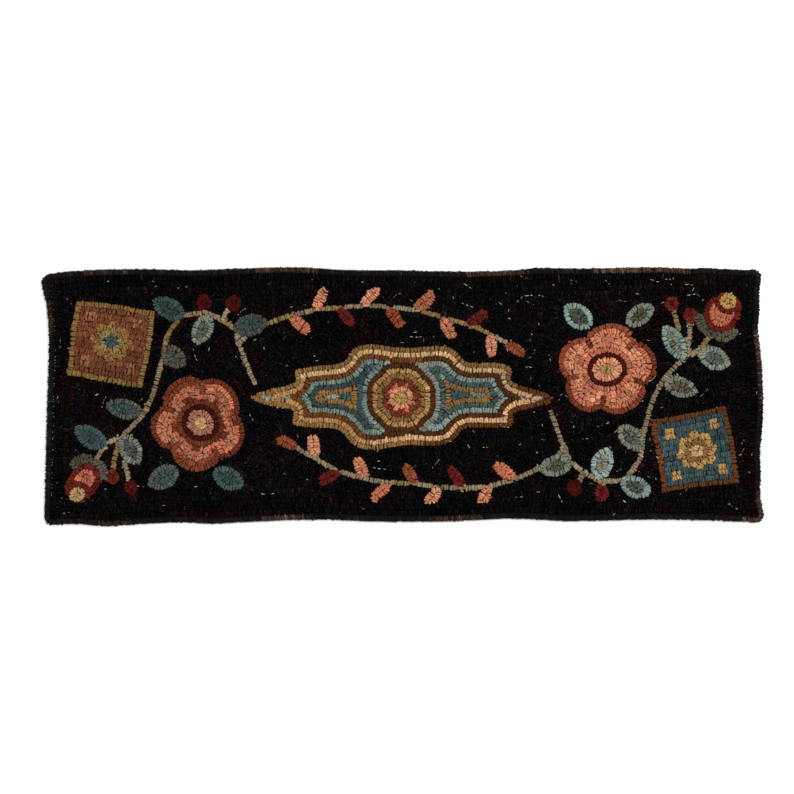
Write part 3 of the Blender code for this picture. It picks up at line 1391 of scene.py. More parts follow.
class Crowd:
    """A fine grid over the field that keeps which loop takes up each spot."""

    STEP = 0.5
    PAST_FIELD = 0.5
    NOBODY = -1
    OUTSIDE = -2
    SAMPLES_ALONG = 7
    SAMPLES_ACROSS = 15

    def __init__(self, canvas: Canvas) -> None:
        """Starts with nothing but the field's own outline.

        Args:
            canvas: The field.
        """
        self.low = np.array([canvas.xs[0], canvas.ys[0]])
        xs, ys = (np.arange(places[0], places[-1], self.STEP) for places in (canvas.xs, canvas.ys))
        x, y = np.meshgrid(xs, ys)
        depth = canvas.sample(canvas.inside, np.column_stack([x.ravel(), y.ravel()])).reshape(x.shape)
        self.owner = np.where(depth > -self.PAST_FIELD, self.NOBODY, self.OUTSIDE)

    def spots(self, points: np.ndarray) -> tuple[np.ndarray, np.ndarray]:
        """Finds the spots of some points.

        Args:
            points: The points, in an array of any shape that ends in X and Y.

        Returns:
            The grid's row and column for each.
        """
        cell = np.rint((points - self.low) / self.STEP).astype(int)
        rows, columns = self.owner.shape
        return np.clip(cell[..., 1], 0, rows - 1), np.clip(cell[..., 0], 0, columns - 1)

    def sampled(self, values: Grid) -> Grid:
        """Reads a whole grid of the field at each spot, from its nearest point.

        Args:
            values: The grid.

        Returns:
            Its value at each spot.
        """
        rows, columns = (
            np.clip(np.rint(np.arange(count) * self.STEP / GRID_STEP).astype(int), 0, most - 1)
            for count, most in zip(self.owner.shape, values.shape)
        )
        return values[np.ix_(rows, columns)]

    def fill(
        self, pile: Pile, right: np.ndarray, left: np.ndarray, half_thickness: float | np.ndarray
    ) -> None:
        """Marks the spots that loops take up, an earlier loop over a later one.

        Args:
            pile: The loops.
            right: How far each reaches to the right of its row.
            left: How far each reaches to the left of it.
            half_thickness: How far each reaches along its row, both ways.
        """
        number = np.arange(len(pile.place))[::-1]
        half_thickness = np.broadcast_to(half_thickness, len(pile.place))[:, None]
        for part in np.linspace(-1.0, 1.0, self.SAMPLES_ALONG):
            for share in np.linspace(0.0, 1.0, self.SAMPLES_ACROSS):
                reach = (share * (left + right) - right)[:, None]
                spots = self.spots(pile.place + part * half_thickness * pile.heading + reach * pile.side)
                rows, columns = spots[0][number], spots[1][number]
                free = self.owner[rows, columns] != self.OUTSIDE
                self.owner[rows[free], columns[free]] = number[free]


class Pile:
    """Every loop of the field, worked out from its rows. Lengths are in millimetres."""

    PARTS = list(Part)
    STRIP_LENGTH = (90.0, 300.0)
    GROUND_STRIP_LENGTH = (12.0, 90.0)
    STRIP_UNEVEN = 0.12
    GROUND_UNEVEN = 0.35
    DYE_STRAY = (0.10, 0.03)
    DYE_LIMITS = (0.0012, 0.9)
    ALONG_STRAY = 0.12
    SIDE_STRAY = 0.28
    FINE_STEP = 0.5
    END_SHARE = 0.6
    CORE = 2.6
    THIN = 1.15
    WIDEST = 4.4
    LEAST_REACH = 1.3
    NEAR = 6.0
    CROSSING_AT = (-2.8, -1.4, 0.0, 1.4, 2.8)
    CROSSING_SLACK = 0.4
    CROSSING_MOST = 2
    LEVEL_FROM = 0.8
    BESIDE_FROM = 1.2
    GROUND_SPARE = 0.45
    MOTIF_SPARE = 0.15
    FEELERS = (-0.8, 0.0, 0.8)
    FEEL_STEP = 0.25
    FEEL_FROM = 0.6
    SHARE_OF_GAP = 0.60
    WIDTH_STRAY = 0.04
    SIDE_SPARE = 0.2
    DEEPEST_HOLE = 8
    LOOK_AT = 12
    PLUG_TINT = 0.08
    PLUG_THICKNESS = (1.7, 3.2)
    PLUG_WIDTH = (2.6, 7.6)
    PLUG_OVER = (0.9, 1.0)
    PLUG_HEADINGS = 12
    PLUG_REACH = 4.0
    PLUG_MARGIN = (0.4, 0.2)
    PLUG_STEP = 0.4
    HEIGHT_STRAY = (-0.1, 0.38)
    HEIGHT_LIMITS = (-1.0, 0.5)
    THICKNESS_STRAY = 0.11

    def __init__(self, hooking: Hooking, rng: np.random.Generator) -> None:
        """Places the loops.

        Args:
            hooking: The rows that they stand on.
            rng: The source of unevenness.
        """
        self.rng = rng
        self.canvas = hooking.canvas
        self.areas = hooking.areas
        rows = hooking.rows
        laid = [self.along(row) for row in rows]
        self.place, self.heading, self.limit = (np.vstack(kind) for kind in zip(*laid))
        counts = [len(place) for place, _, _ in laid]
        self.colour = np.vstack([self.dyed(row, count) for row, count in zip(rows, counts)])
        self.part = np.repeat([self.PARTS.index(row.part) for row in rows], counts)
        self.area = np.repeat([row.area for row in rows], counts)
        self.thickness = np.full(len(self.place), LoopPattern.THICKNESS)
        self.width = np.full(len(self.place), LoopPattern.WIDTH)
        self.thin_out()
        self.spread()
        self.plug()

    @property
    def side(self) -> np.ndarray:
        """The direction to the left of each loop's row."""
        return left_of(self.heading)

    @property
    def in_ground(self) -> np.ndarray:
        """Which loops belong to the ground."""
        return self.part == self.PARTS.index(Part.GROUND_LEFT)

    def along(self, row: Row) -> tuple[np.ndarray, np.ndarray, np.ndarray]:
        """Places the loops of one row.

        Args:
            row: The row.

        Returns:
            The loops' places, the row's heading at each, and its room to each side.
        """
        line = row.line
        if line.shape[1] == 2:
            line = np.column_stack([line, np.full((len(line), 2), self.WIDEST)])
        fine = resampled(line, row.closed, self.FINE_STEP)
        loop = np.vstack([fine, fine[:1]]) if row.closed else fine
        length = length_of(loop) + (0.0 if row.closed else self.END_SHARE * LOOP_PITCH)
        count = max(1, round(length / LOOP_PITCH))
        share = (np.arange(count) + 0.5 + self.rng.normal(0.0, self.ALONG_STRAY, count)) / count
        spot = np.clip(share, 0, 1) * (len(loop) - 1)
        turns = 3 if row.closed else 1
        number = np.arange(turns * len(fine)) - (turns // 2) * len(fine)
        wound = np.vstack([fine] * turns)

        def at(spots: np.ndarray) -> np.ndarray:
            """Gives the line's values at some spots on it."""
            return np.column_stack([np.interp(spots, number, column) for column in wound.T])

        heading = (at(spot + 3.0) - at(spot - 3.0))[:, :2]
        heading /= np.maximum(np.hypot(*heading.T), 1e-6)[:, None]
        found = at(spot)
        place = found[:, :2] + self.rng.normal(0.0, self.SIDE_STRAY, (count, 1)) * left_of(heading)
        return place, heading, found[:, 2:]

    def dyed(self, row: Row, count: int) -> np.ndarray:
        """Dyes the loops of one row, strip by strip, each strip a little off its wool.

        Args:
            row: The row.
            count: How many loops it has.

        Returns:
            Their colours.
        """
        rng = self.rng
        ground = row.wools is GROUND_WOOLS
        strip_length = self.GROUND_STRIP_LENGTH if ground else self.STRIP_LENGTH
        uneven = self.GROUND_UNEVEN if ground else self.STRIP_UNEVEN
        colours: list[np.ndarray] = []
        while len(colours) < count:
            wool = np.array(row.wools[rng.integers(len(row.wools))].value)
            strip = wool * rng.normal(1.0, self.DYE_STRAY[0]) * rng.normal(1.0, self.DYE_STRAY[1], 3)
            for _ in range(max(1, int(rng.uniform(*strip_length) / LOOP_PITCH))):
                colours.append(strip * rng.lognormal(0.0, uneven))
        return np.clip(np.array(colours[:count]), *self.DYE_LIMITS)

    def apart(
        self, first: np.ndarray, second: np.ndarray, reach: float = 0.0
    ) -> tuple[np.ndarray, np.ndarray]:
        """Measures how far loops lie from others.

        Args:
            first: The numbers of the loops to measure from.
            second: The numbers of the others.
            reach: How far to the left of the others' middles to measure.

        Returns:
            How far along the first loops' rows and across them the others lie.
        """
        away = self.place[second] + reach * self.side[second] - self.place[first]
        along = np.abs((away * self.heading[first]).sum(axis=1))
        return along, np.abs((away * self.side[first]).sum(axis=1))

    def crossing(self, first: np.ndarray, second: np.ndarray) -> np.ndarray:
        """Counts how many of five points along each second loop lie on the first.

        Args:
            first: The numbers of the first loops.
            second: The numbers of the second.

        Returns:
            One count for each pair.
        """
        found = np.zeros(len(first))
        for reach in self.CROSSING_AT:
            along, across = self.apart(first, second, reach)
            found += (along < self.THIN) & (across < self.CORE + self.CROSSING_SLACK)
        return found

    def thin_out(self) -> None:
        """Joins loops that stand side by side in too little room, and drops those across another."""
        tree = tree_of(self.place)
        first, second = np.array([
            (number, other)
            for number, (x, y) in enumerate(self.place)
            for _, other, _ in tree.find_range((x, y, 0.0), self.NEAR)
            if other > number
        ]).T
        crossed = np.maximum(self.crossing(first, second), self.crossing(second, first))
        clash = crossed >= self.CROSSING_MOST
        along, across = self.apart(first, second)
        level = np.abs((self.heading[first] * self.heading[second]).sum(axis=1)) > self.LEVEL_FROM
        beside = level & (across > self.BESIDE_FROM * along)
        gone = np.zeros(len(self.place), bool)
        for number, other, joined in zip(first[clash], second[clash], beside[clash]):
            if not gone[number] and not gone[other]:
                gone[other] = True
                if joined:
                    self.place[number] = (self.place[number] + self.place[other]) / 2
        for name in ("place", "heading", "colour", "part", "area", "limit", "thickness", "width"):
            setattr(self, name, getattr(self, name)[~gone])

    def spread(self) -> None:
        """Widens each loop both ways to meet what stands beside it."""
        crowd = Crowd(self.canvas)
        count = len(self.place)
        right, left = np.minimum(self.limit, self.CORE).T
        crowd.fill(self, right, left, self.THIN)
        number = np.arange(count)
        reach = {}
        for column, sign in enumerate((-1, 1)):
            stop = np.full(count, np.inf)
            for away in np.arange(self.CORE - self.FEEL_FROM, 2 * self.WIDEST, self.FEEL_STEP):
                for along in self.FEELERS:
                    spots = crowd.spots(self.place + along * self.heading + sign * away * self.side)
                    met = crowd.owner[spots]
                    blocked = (met != crowd.NOBODY) & (met != number)
                    stop = np.where(blocked, np.minimum(stop, away), stop)
            room = np.minimum(self.CORE + self.SHARE_OF_GAP * (stop - self.CORE), self.limit[:, column])
            reach[sign] = np.maximum(room, self.LEAST_REACH)
        self.place = self.place + ((reach[1] - reach[-1]) / 2)[:, None] * self.side
        self.width = (reach[1] + reach[-1]) * self.rng.normal(1.0, self.WIDTH_STRAY, count)

    def plug(self) -> None:
        """Fills the holes that are left with single loops, the widest holes first."""
        crowd = Crowd(self.canvas)
        spare = np.where(self.in_ground, self.GROUND_SPARE, self.MOTIF_SPARE)
        reach = self.width / 2 + self.SIDE_SPARE
        crowd.fill(self, reach, reach, self.THIN + spare)
        free = crowd.owner == crowd.NOBODY
        areas = crowd.sampled(self.areas)
        depths = [free]
        while depths[-1].any() and len(depths) < self.DEEPEST_HOLE:
            inner = depths[-1].copy()
            for shift, axis in ((1, 0), (-1, 0), (1, 1), (-1, 1)):
                inner &= np.roll(depths[-1], shift, axis)
            depths.append(inner)
        plugs = []
        for depth in depths[:0:-1]:
            for j, i in np.argwhere(depth):
                if free[j, i]:
                    plugs.append(self.one_plug(crowd, free, areas, (j, i)))
        if not plugs:
            return
        tree = tree_of(self.place)
        like = []
        for x, y, *_, area in plugs:
            close = [number for _, number, _ in tree.find_n((x, y, 0.0), self.LOOK_AT)]
            like.append(next((number for number in close if self.area[number] == area), close[0]))
        added = np.array(plugs)
        self.place = np.vstack([self.place, added[:, :2]])
        self.heading = np.vstack([self.heading, added[:, 2:4]])
        self.width = np.concatenate([self.width, added[:, 4]])
        self.thickness = np.concatenate([self.thickness, added[:, 5]])
        self.part = np.concatenate([self.part, self.part[like]])
        tint = self.rng.normal(1.0, self.PLUG_TINT, len(plugs))[:, None]
        self.colour = np.vstack([self.colour, self.colour[like] * tint])

    def one_plug(
        self, crowd: Crowd, free: np.ndarray, areas: np.ndarray, spot: tuple[int, int]
    ) -> tuple[float, ...]:
        """Fits one loop into a hole, within one area, and marks its spots as taken.

        Args:
            crowd: The grid.
            free: Which of its spots are free.
            areas: The area that each of its spots is in.
            spot: The row and column of a spot in the hole.

        Returns:
            The loop's place, heading, width, thickness and area.
        """
        middle = crowd.low + np.array(spot[::-1]) * crowd.STEP
        steps = np.arange(0.0, self.PLUG_REACH + crowd.STEP / 2, crowd.STEP)

        def run(way: np.ndarray) -> float:
            """Measures how far the hole goes on from its middle in one direction, within its area."""
            spots = crowd.spots(middle + steps[:, None] * way)
            inside = free[spots] & (areas[spots] == areas[spot])
            return steps[-1] if inside.all() else steps[max(0, np.argmin(inside) - 1)]

        width, angle, shift = 0.0, 0.0, 0.0
        for tried in np.arange(0.0, math.pi, math.pi / self.PLUG_HEADINGS):
            way = np.array([math.cos(tried), math.sin(tried)])
            ahead, behind = run(way), run(-way)
            if ahead + behind > width:
                width, angle, shift = ahead + behind, tried, (ahead - behind) / 2
        side = np.array([math.cos(angle), math.sin(angle)])
        heading = np.array([side[1], -side[0]])
        thickness = run(heading) + run(-heading)
        middle = middle + shift * side
        width = float(np.clip(width + self.PLUG_OVER[1], *self.PLUG_WIDTH))
        thickness = float(np.clip(thickness + self.PLUG_OVER[0], *self.PLUG_THICKNESS))
        ends = thickness / 2 + self.PLUG_MARGIN[0], width / 2 + self.PLUG_MARGIN[1]
        taken = (np.arange(-end, end + 0.01, self.PLUG_STEP) for end in ends)
        for along, reach in itertools.product(*taken):
            free[crowd.spots(middle + along * heading + reach * side)] = False
        return (*middle, *heading, width, thickness, areas[spot])

    def members(self, part: Part) -> np.ndarray:
        """Chooses the loops of one piece. The ground's are shared between its two pieces.

        Args:
            part: The piece.

        Returns:
            The loops' numbers.
        """
        right = self.place[:, 0] > 0
        if part is Part.GROUND_LEFT:
            return np.flatnonzero(self.in_ground & ~right)
        if part is Part.GROUND_RIGHT:
            return np.flatnonzero(self.in_ground & right)
        return np.flatnonzero(self.part == self.PARTS.index(part))

    def stations(self, chosen: np.ndarray, top: Top) -> Stations:
        """Stands the chosen loops on the linen, up to the slab's top.

        Args:
            chosen: Their numbers.
            top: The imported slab's top.

        Returns:
            Their stations.
        """
        place = self.place[chosen]
        height = np.array([top.height(x, y, LOOP_FOOT + LoopPattern.HEIGHT) for x, y in place]) - LOOP_FOOT
        height += np.clip(self.rng.normal(*self.HEIGHT_STRAY, len(place)), *self.HEIGHT_LIMITS)
        flat = np.zeros(len(place))
        uneven = self.rng.normal(1.0, self.THICKNESS_STRAY, len(place))
        return Stations(
            np.column_stack([place, flat + LOOP_FOOT]) * MM,
            np.column_stack([self.heading[chosen], flat]),
            np.column_stack([
                self.thickness[chosen] / LoopPattern.THICKNESS * uneven,
                self.width[chosen] / LoopPattern.WIDTH,
                height / LoopPattern.HEIGHT,
            ]),
            self.colour[chosen],
        )


class Top:
    """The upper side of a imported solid."""

    ABOVE = 1.0

    def __init__(self, node: bpy.types.Object) -> None:
        """Reads the solid's faces."""
        mesh = node.data
        self.faces = BVHTree.FromPolygons([v.co for v in mesh.vertices], [p.vertices for p in mesh.polygons])

    def height(self, x: float, y: float, otherwise: float) -> float:
        """Measures the solid's height at one place."""
        hit = self.faces.ray_cast(Vector((x * MM, y * MM, self.ABOVE)), Vector((0, 0, -1)))[0]
        return hit.z / MM if hit else otherwise


def hooked(canvas: Canvas, rng: np.random.Generator) -> Pile:
    """Hooks the whole design on the field.

    Args:
        canvas: The field.
        rng: The source of unevenness.

    Returns:
        The loops.
    """
    hooking = Hooking(canvas)
    for patch in drawing():
        hooking.hook(patch)
    hooking.ground()
    LOG.info("%d rows", len(hooking.rows))
    return Pile(hooking, rng)


class Graph:
    """A node tree while it is built."""

    def __init__(self, tree: bpy.types.NodeTree) -> None:
        """Starts from a tree."""
        self.tree = tree

    def takes(self, kind: str, name: str, default: object = None) -> str:
        """Adds a named input to a group.

        Args:
            kind: The socket's type.
            name: Its name.
            default: Its usual value.

        Returns:
            Its identifier.
        """
        socket = self.tree.interface.new_socket(name=name, in_out="INPUT", socket_type=kind)
        if default is not None:
            socket.default_value = default
        return socket.identifier

    def gives(self, kind: str, name: str) -> None:
        """Adds a named output to a group."""
        self.tree.interface.new_socket(name=name, in_out="OUTPUT", socket_type=kind)

    def feed(self, node: bpy.types.Node, inputs: dict[str | int, object]) -> None:
        """Sets inputs of a node.

        Args:
            node: The node.
            inputs: The inputs by name or number, each a value or the socket that feeds it.
        """
        for name, value in inputs.items():
            if isinstance(value, bpy.types.NodeSocket):
                self.tree.links.new(value, node.inputs[name])
            else:
                node.inputs[name].default_value = value

    def add(
        self, kind: str, inputs: dict[str | int, object] | None = None, **settings: object
    ) -> bpy.types.Node:
        """Adds a node.

        Args:
            kind: The node's type.
            inputs: Its inputs by name or number, each a value or the socket that feeds it.
            settings: Its other settings.

        Returns:
            The new node.
        """
        node = self.tree.nodes.new(kind)
        for name, value in settings.items():
            setattr(node, name, value)
        self.feed(node, inputs or {})
        return node

    def maths(
        self, operation: str, first: object, second: object = 0.0, third: object = 0.0
    ) -> bpy.types.NodeSocket:
        """Adds one sum."""
        return self.add("ShaderNodeMath", {0: first, 1: second, 2: third}, operation=operation).outputs[0]

    def vector(self, operation: str, first: object, **second: object) -> bpy.types.NodeSocket:
        """Adds one sum of vectors."""
        inputs = {0: first} | {{"by": 1, "scale": "Scale"}[name]: value for name, value in second.items()}
        return self.add("ShaderNodeVectorMath", inputs, operation=operation).outputs[0]

    def noise(self, where: bpy.types.NodeSocket, scale: object, **inputs: float) -> bpy.types.Node:
        """Adds a noise."""
        return self.add("ShaderNodeTexNoise", {"Vector": where, "Scale": scale, **inputs})

    def group(self, tree: bpy.types.NodeTree, inputs: dict[str | int, object]) -> bpy.types.Node:
        """Adds a shared group with its own values."""
        return self.add("ShaderNodeGroup", inputs, node_tree=tree)


def new_material(name: str) -> tuple[bpy.types.Material, Graph, bpy.types.Node]:
    """Starts a material.

    Args:
        name: Its name.

    Returns:
        The material, its node tree to add to, and its shader.
    """
    material = bpy.data.materials.new(name)
    material.use_nodes = True
    return material, Graph(material.node_tree), material.node_tree.nodes["Principled BSDF"]


def new_effect(name: str, takes: dict[str, float | tuple[float, ...]], gives: Sequence[str]) -> Graph:
    """Starts a shared effect.

    Args:
        name: Its name.
        takes: Its inputs with their usual values, a number or a colour each.
        gives: Its outputs, where the one named Colour is a colour and the rest are numbers.

    Returns:
        The effect's node tree to add to.
    """
    graph = Graph(bpy.data.node_groups.new(name, "ShaderNodeTree"))
    for label, usual in takes.items():
        graph.takes("NodeSocketFloat" if isinstance(usual, float) else "NodeSocketColor", label, usual)
    for label in gives:
        graph.gives("NodeSocketColor" if label == "Colour" else "NodeSocketFloat", label)
    return graph


class StationTree:
    """The Geometry Nodes tree that stands a pattern piece at every station."""

    NAME = "pieces_on_stations"

    def __init__(self) -> None:
        """Builds the tree and keeps its inputs' identifiers."""
        self.tree = bpy.data.node_groups.new(self.NAME, "GeometryNodeTree")
        graph = Graph(self.tree)
        graph.gives("NodeSocketGeometry", "Geometry")
        graph.takes("NodeSocketGeometry", "Geometry")
        self.inputs = {
            name: graph.takes("NodeSocket" + kind, name, usual)
            for name, kind, usual in (
                ("Patterns", "Collection", None), ("Kinds", "Int", 1), ("Lean", "Float", 0.0),
                ("Turn", "Float", 0.0), ("Seed", "Int", SEED), ("Finish", "Material", None),
            )
        }
        given = graph.add("NodeGroupInput").outputs
        heading, size = (
            graph.add("GeometryNodeInputNamedAttribute", {"Name": name}, data_type="FLOAT_VECTOR").outputs[
                "Attribute"
            ]
            for name in ("heading", "size")
        )
        facing = graph.add(
            "FunctionNodeAlignRotationToVector", {"Vector": heading}, axis="X", pivot_axis="Z"
        )
        most = graph.add("ShaderNodeCombineXYZ", {0: given["Lean"], 1: given["Lean"], 2: given["Turn"]})
        least = graph.vector("SCALE", most.outputs[0], scale=-1.0)
        stray = graph.add(
            "FunctionNodeRandomValue", {0: least, 1: most.outputs[0], "Seed": given["Seed"]},
            data_type="FLOAT_VECTOR",
        )
        stray_turn = graph.add("FunctionNodeEulerToRotation", {0: stray.outputs[0]})
        rotation = graph.add(
            "FunctionNodeRotateRotation",
            {"Rotation": facing.outputs[0], "Rotate By": stray_turn.outputs[0]}, rotation_space="LOCAL",
        )
        last_kind = graph.maths("SUBTRACT", given["Kinds"], 1.0)
        kind = graph.add(
            "FunctionNodeRandomValue", {4: 0, 5: last_kind, "Seed": given["Seed"]}, data_type="INT"
        )
        patterns = graph.add(
            "GeometryNodeCollectionInfo", {"Collection": given["Patterns"], "Separate Children": True}
        )
        standing = graph.add("GeometryNodeInstanceOnPoints", {
            "Points": given["Geometry"], "Instance": patterns.outputs[0], "Pick Instance": True,
            "Instance Index": kind.outputs[2], "Rotation": rotation.outputs[0], "Scale": size,
        })
        real = graph.add("GeometryNodeRealizeInstances", {0: standing.outputs[0]})
        finished = graph.add(
            "GeometryNodeSetMaterial", {"Geometry": real.outputs[0], "Material": given["Finish"]}
        )
        graph.add("NodeGroupOutput", {0: finished.outputs[0]})

    def piece(
        self,
        name: str,
        stations: Stations,
        patterns: Sequence[bpy.types.Object],
        finish: bpy.types.Material,
        lean: float = 0.0,
        turn: float = 0.0,
    ) -> bpy.types.Object:
        """Makes one piece with a pattern at every station.

        Args:
            name: The piece's name.
            stations: Where the patterns stand.
            patterns: The pattern pieces to choose from.
            finish: The material.
            lean: The most that one leans either way, in radians.
            turn: The most that one is turned either way, in radians.

        Returns:
            The piece, as a plain mesh.
        """
        mesh = bpy.data.meshes.new(name)
        mesh.from_pydata(stations.place.tolist(), [], [])
        rgba = np.column_stack([stations.colour, np.ones(len(stations.place))])
        for label, kind, slot, values in (
            ("heading", "FLOAT_VECTOR", "vector", stations.heading),
            ("size", "FLOAT_VECTOR", "vector", stations.size),
            ("dye", "FLOAT_COLOR", "color", rgba),
        ):
            notes = mesh.attributes.new(label, kind, "POINT")
            notes.data.foreach_set(slot, values.astype(np.float32).ravel())
        shelf = bpy.data.collections.new(name + "_patterns")
        for pattern in patterns:
            shelf.objects.link(pattern)
        item = bpy.data.objects.new(name, mesh)
        bpy.context.scene.collection.objects.link(item)
        modifier = item.modifiers.new("stations", "NODES")
        modifier.node_group = self.tree
        values = {"Patterns": shelf, "Kinds": len(patterns), "Lean": lean, "Turn": turn, "Finish": finish}
        for label, value in values.items():
            modifier[self.inputs[label]] = value
        modifier[self.inputs["Seed"]] = SEED
        graph = bpy.context.evaluated_depsgraph_get()
        made = bpy.data.meshes.new_from_object(item.evaluated_get(graph))
        item.modifiers.clear()
        item.data = made
        made.name = name
        for label in ("heading", "size"):
            if label in made.attributes:
                made.attributes.remove(made.attributes[label])
        bpy.data.meshes.remove(mesh)
        bpy.data.collections.remove(shelf)
        for pattern in patterns:
            bpy.data.meshes.remove(pattern.data)
        return item


def pattern_object(name: str, build: bmesh.types.BMesh) -> bpy.types.Object:
    """Turns built faces into a smooth pattern piece that the scene doesn't show.

    Args:
        name: The piece's name.
        build: Its faces.

    Returns:
        The piece.
    """
    bmesh.ops.recalc_face_normals(build, faces=build.faces)
    mesh = bpy.data.meshes.new(name)
    build.to_mesh(mesh)
    build.free()
    mesh.shade_smooth()
    return bpy.data.objects.new(name, mesh)


Outline = Sequence[Vector]
Corners = list[bmesh.types.BMVert]


def band(build: bmesh.types.BMesh, below: Corners, above: Corners) -> None:
    """Joins two rings of vertices with faces.

    Args:
        build: The mesh to add to.
        below: The first ring.
        above: The second, with as many vertices.
    """
    for k in range(len(below)):
        after = (k + 1) % len(below)
        build.faces.new((below[k], below[after], above[after], above[k]))


def lofted(build: bmesh.types.BMesh, rings: Sequence[Outline], closed: bool) -> list[Corners]:
    """Joins rings of points with faces.

    Args:
        build: The mesh to add to.
        rings: The rings, all with as many points.
        closed: Whether the last ring joins the first. Otherwise both ends are capped.

    Returns:
        The rings' vertices.
    """
    made = [[build.verts.new(point) for point in ring] for ring in rings]
    for below, above in zip(made, made[1:]):
        band(build, below, above)
    if closed:
        band(build, made[-1], made[0])
    else:
        build.faces.new(made[0][::-1])
        build.faces.new(made[-1])
    return made


@dataclass(frozen=True, kw_only=True)
class LoopPattern:
    """One loop of a folded wool strip: a narrow bar across the row with a rounded top and a crowded foot.

    Lengths are in millimetres: X is along the row, Y across it, and the foot is at zero.
    """

    name: str
    bend: float
    twist: float
    slump: float

    HEIGHT = 5.5
    WIDTH = 6.4
    THICKNESS = 2.5
    PLAN = ((1.0, 0.50), (0.80, 1.0), (-0.80, 1.0), (-1.0, 0.50), (-1.0, -0.50), (-0.80, -1.0), (0.80, -1.0),
            (1.0, -0.50))
    LEVELS = ((0.0, 1.30, 1.70), (0.74, 1.06, 1.12), (1.0, 0.82, 0.52))

    def made(self) -> bpy.types.Object:
        """Builds the loop.

        Returns:
            The pattern piece.
        """
        build = bmesh.new()
        rings = []
        for level, wide, thick in self.LEVELS:
            ring = []
            for across, along in self.PLAN:
                y = across * wide * self.WIDTH / 2
                x = along * thick * self.THICKNESS / 2
                x += self.bend * level * (y / self.WIDTH * 2) ** 2 + self.twist * level * y
                sag = self.slump * abs(across) if level == 1.0 else 0.0
                ring.append(Vector((x, y, level * self.HEIGHT - sag)) * MM)
            rings.append(ring)
        lofted(build, rings, False)
        return pattern_object(self.name, build)


@dataclass(frozen=True, kw_only=True)
class WoolFinish:
    """Wool in many dyes: how fine and deep its nap is, how uneven its dye, and how much shade is painted into
    its colour lower down.
    """

    name: str
    nap_scale: float
    nap_depth: float
    heather: float
    tint: float
    # How much painted shade darkens the colour lower down, up to full_height, in place of the shade deep in
    # the pile.
    painted_deep_shade: float
    full_height: float
    sheen: float
    gloss: float
    roughness: float
    plied: bool = False

    TURNS = 0.9
    # How much painted shade darkens the groove between a yarn's plies.
    PAINTED_GROOVE_SHADE = 0.45
    PLY_HEIGHT = 1.6
    BUMP = 0.75
    SHEEN_ROUGHNESS = 0.45

    def made(self, fibres: bpy.types.NodeTree, ply: bpy.types.NodeTree) -> bpy.types.Material:
        """Builds the material.

        Args:
            fibres: The shared wool effect.
            ply: The shared twist of a yarn.

        Returns:
            The material.
        """
        material, graph, shader = new_material(self.name)
        dye = graph.add("ShaderNodeAttribute", attribute_name="dye")
        wool = graph.group(fibres, {
            "Dye": dye.outputs["Color"], "Nap Scale": self.nap_scale, "Heather": self.heather,
            "Tint": self.tint, "Painted Deep Shade": self.painted_deep_shade, "Full Height": self.full_height * MM,
            "Dullness": self.roughness,
        }).outputs
        colour, height = wool["Colour"], wool["Height"]
        if self.plied:
            twist = graph.group(ply, {"Colour": colour, "Turns": self.TURNS, "Painted Groove Shade": self.PAINTED_GROOVE_SHADE})
            colour = twist.outputs["Colour"]
            height = graph.maths("MULTIPLY_ADD", twist.outputs["Height"], self.PLY_HEIGHT, height)
        bump = graph.add(
            "ShaderNodeBump", {"Height": height, "Strength": self.BUMP, "Distance": self.nap_depth * MM}
        )
        graph.feed(shader, {
            "Base Color": colour, "Roughness": wool["Roughness"], "Normal": bump.outputs["Normal"],
            "Sheen Weight": self.sheen, "Sheen Roughness": self.SHEEN_ROUGHNESS,
            "Specular IOR Level": self.gloss,
        })
        return material


@dataclass(frozen=True, kw_only=True)
class LinenFinish:
    """Unbleached linen in plain weave: the pitch of its threads in millimetres and its pale and dark colours,
    with painted shade where the weave dips.
    """

    name: str
    thread_pitch: float
    pale: Colour
    dark: Colour

    SLUB_SCALE = 420.0
    CONTRAST = 1.7
    BUMP = 0.8
    DEPTH = 0.4
    ROUGHNESS = (0.75, 0.2)
    GLOSS = 0.25

    def made(self) -> bpy.types.Material:
        """Builds the material.

        Returns:
            The material.
        """
        material, graph, shader = new_material(self.name)
        where = graph.add("ShaderNodeTexCoord").outputs["Object"]
        weave = graph.group(weave_group(), {"Pitch": self.thread_pitch * MM}).outputs["Height"]
        slub = graph.noise(where, self.SLUB_SCALE, Detail=3.0).outputs["Fac"]
        # Painted shade: the colour is darker where the weave's threads dip; the slub noise also varies it at
        # random.
        shade = graph.maths("MULTIPLY", graph.maths("MULTIPLY", weave, slub), self.CONTRAST)
        shades = {0: shade, 6: (*self.dark, 1.0), 7: (*self.pale, 1.0)}
        colour = graph.add("ShaderNodeMix", shades, data_type="RGBA")
        bump = graph.add(
            "ShaderNodeBump", {"Height": weave, "Strength": self.BUMP, "Distance": self.DEPTH * MM}
        )
        least, spread = self.ROUGHNESS
        graph.feed(shader, {
            "Base Color": colour.outputs[2], "Roughness": graph.maths("MULTIPLY_ADD", slub, spread, least),
            "Normal": bump.outputs["Normal"], "Specular IOR Level": self.GLOSS,
        })
        return material


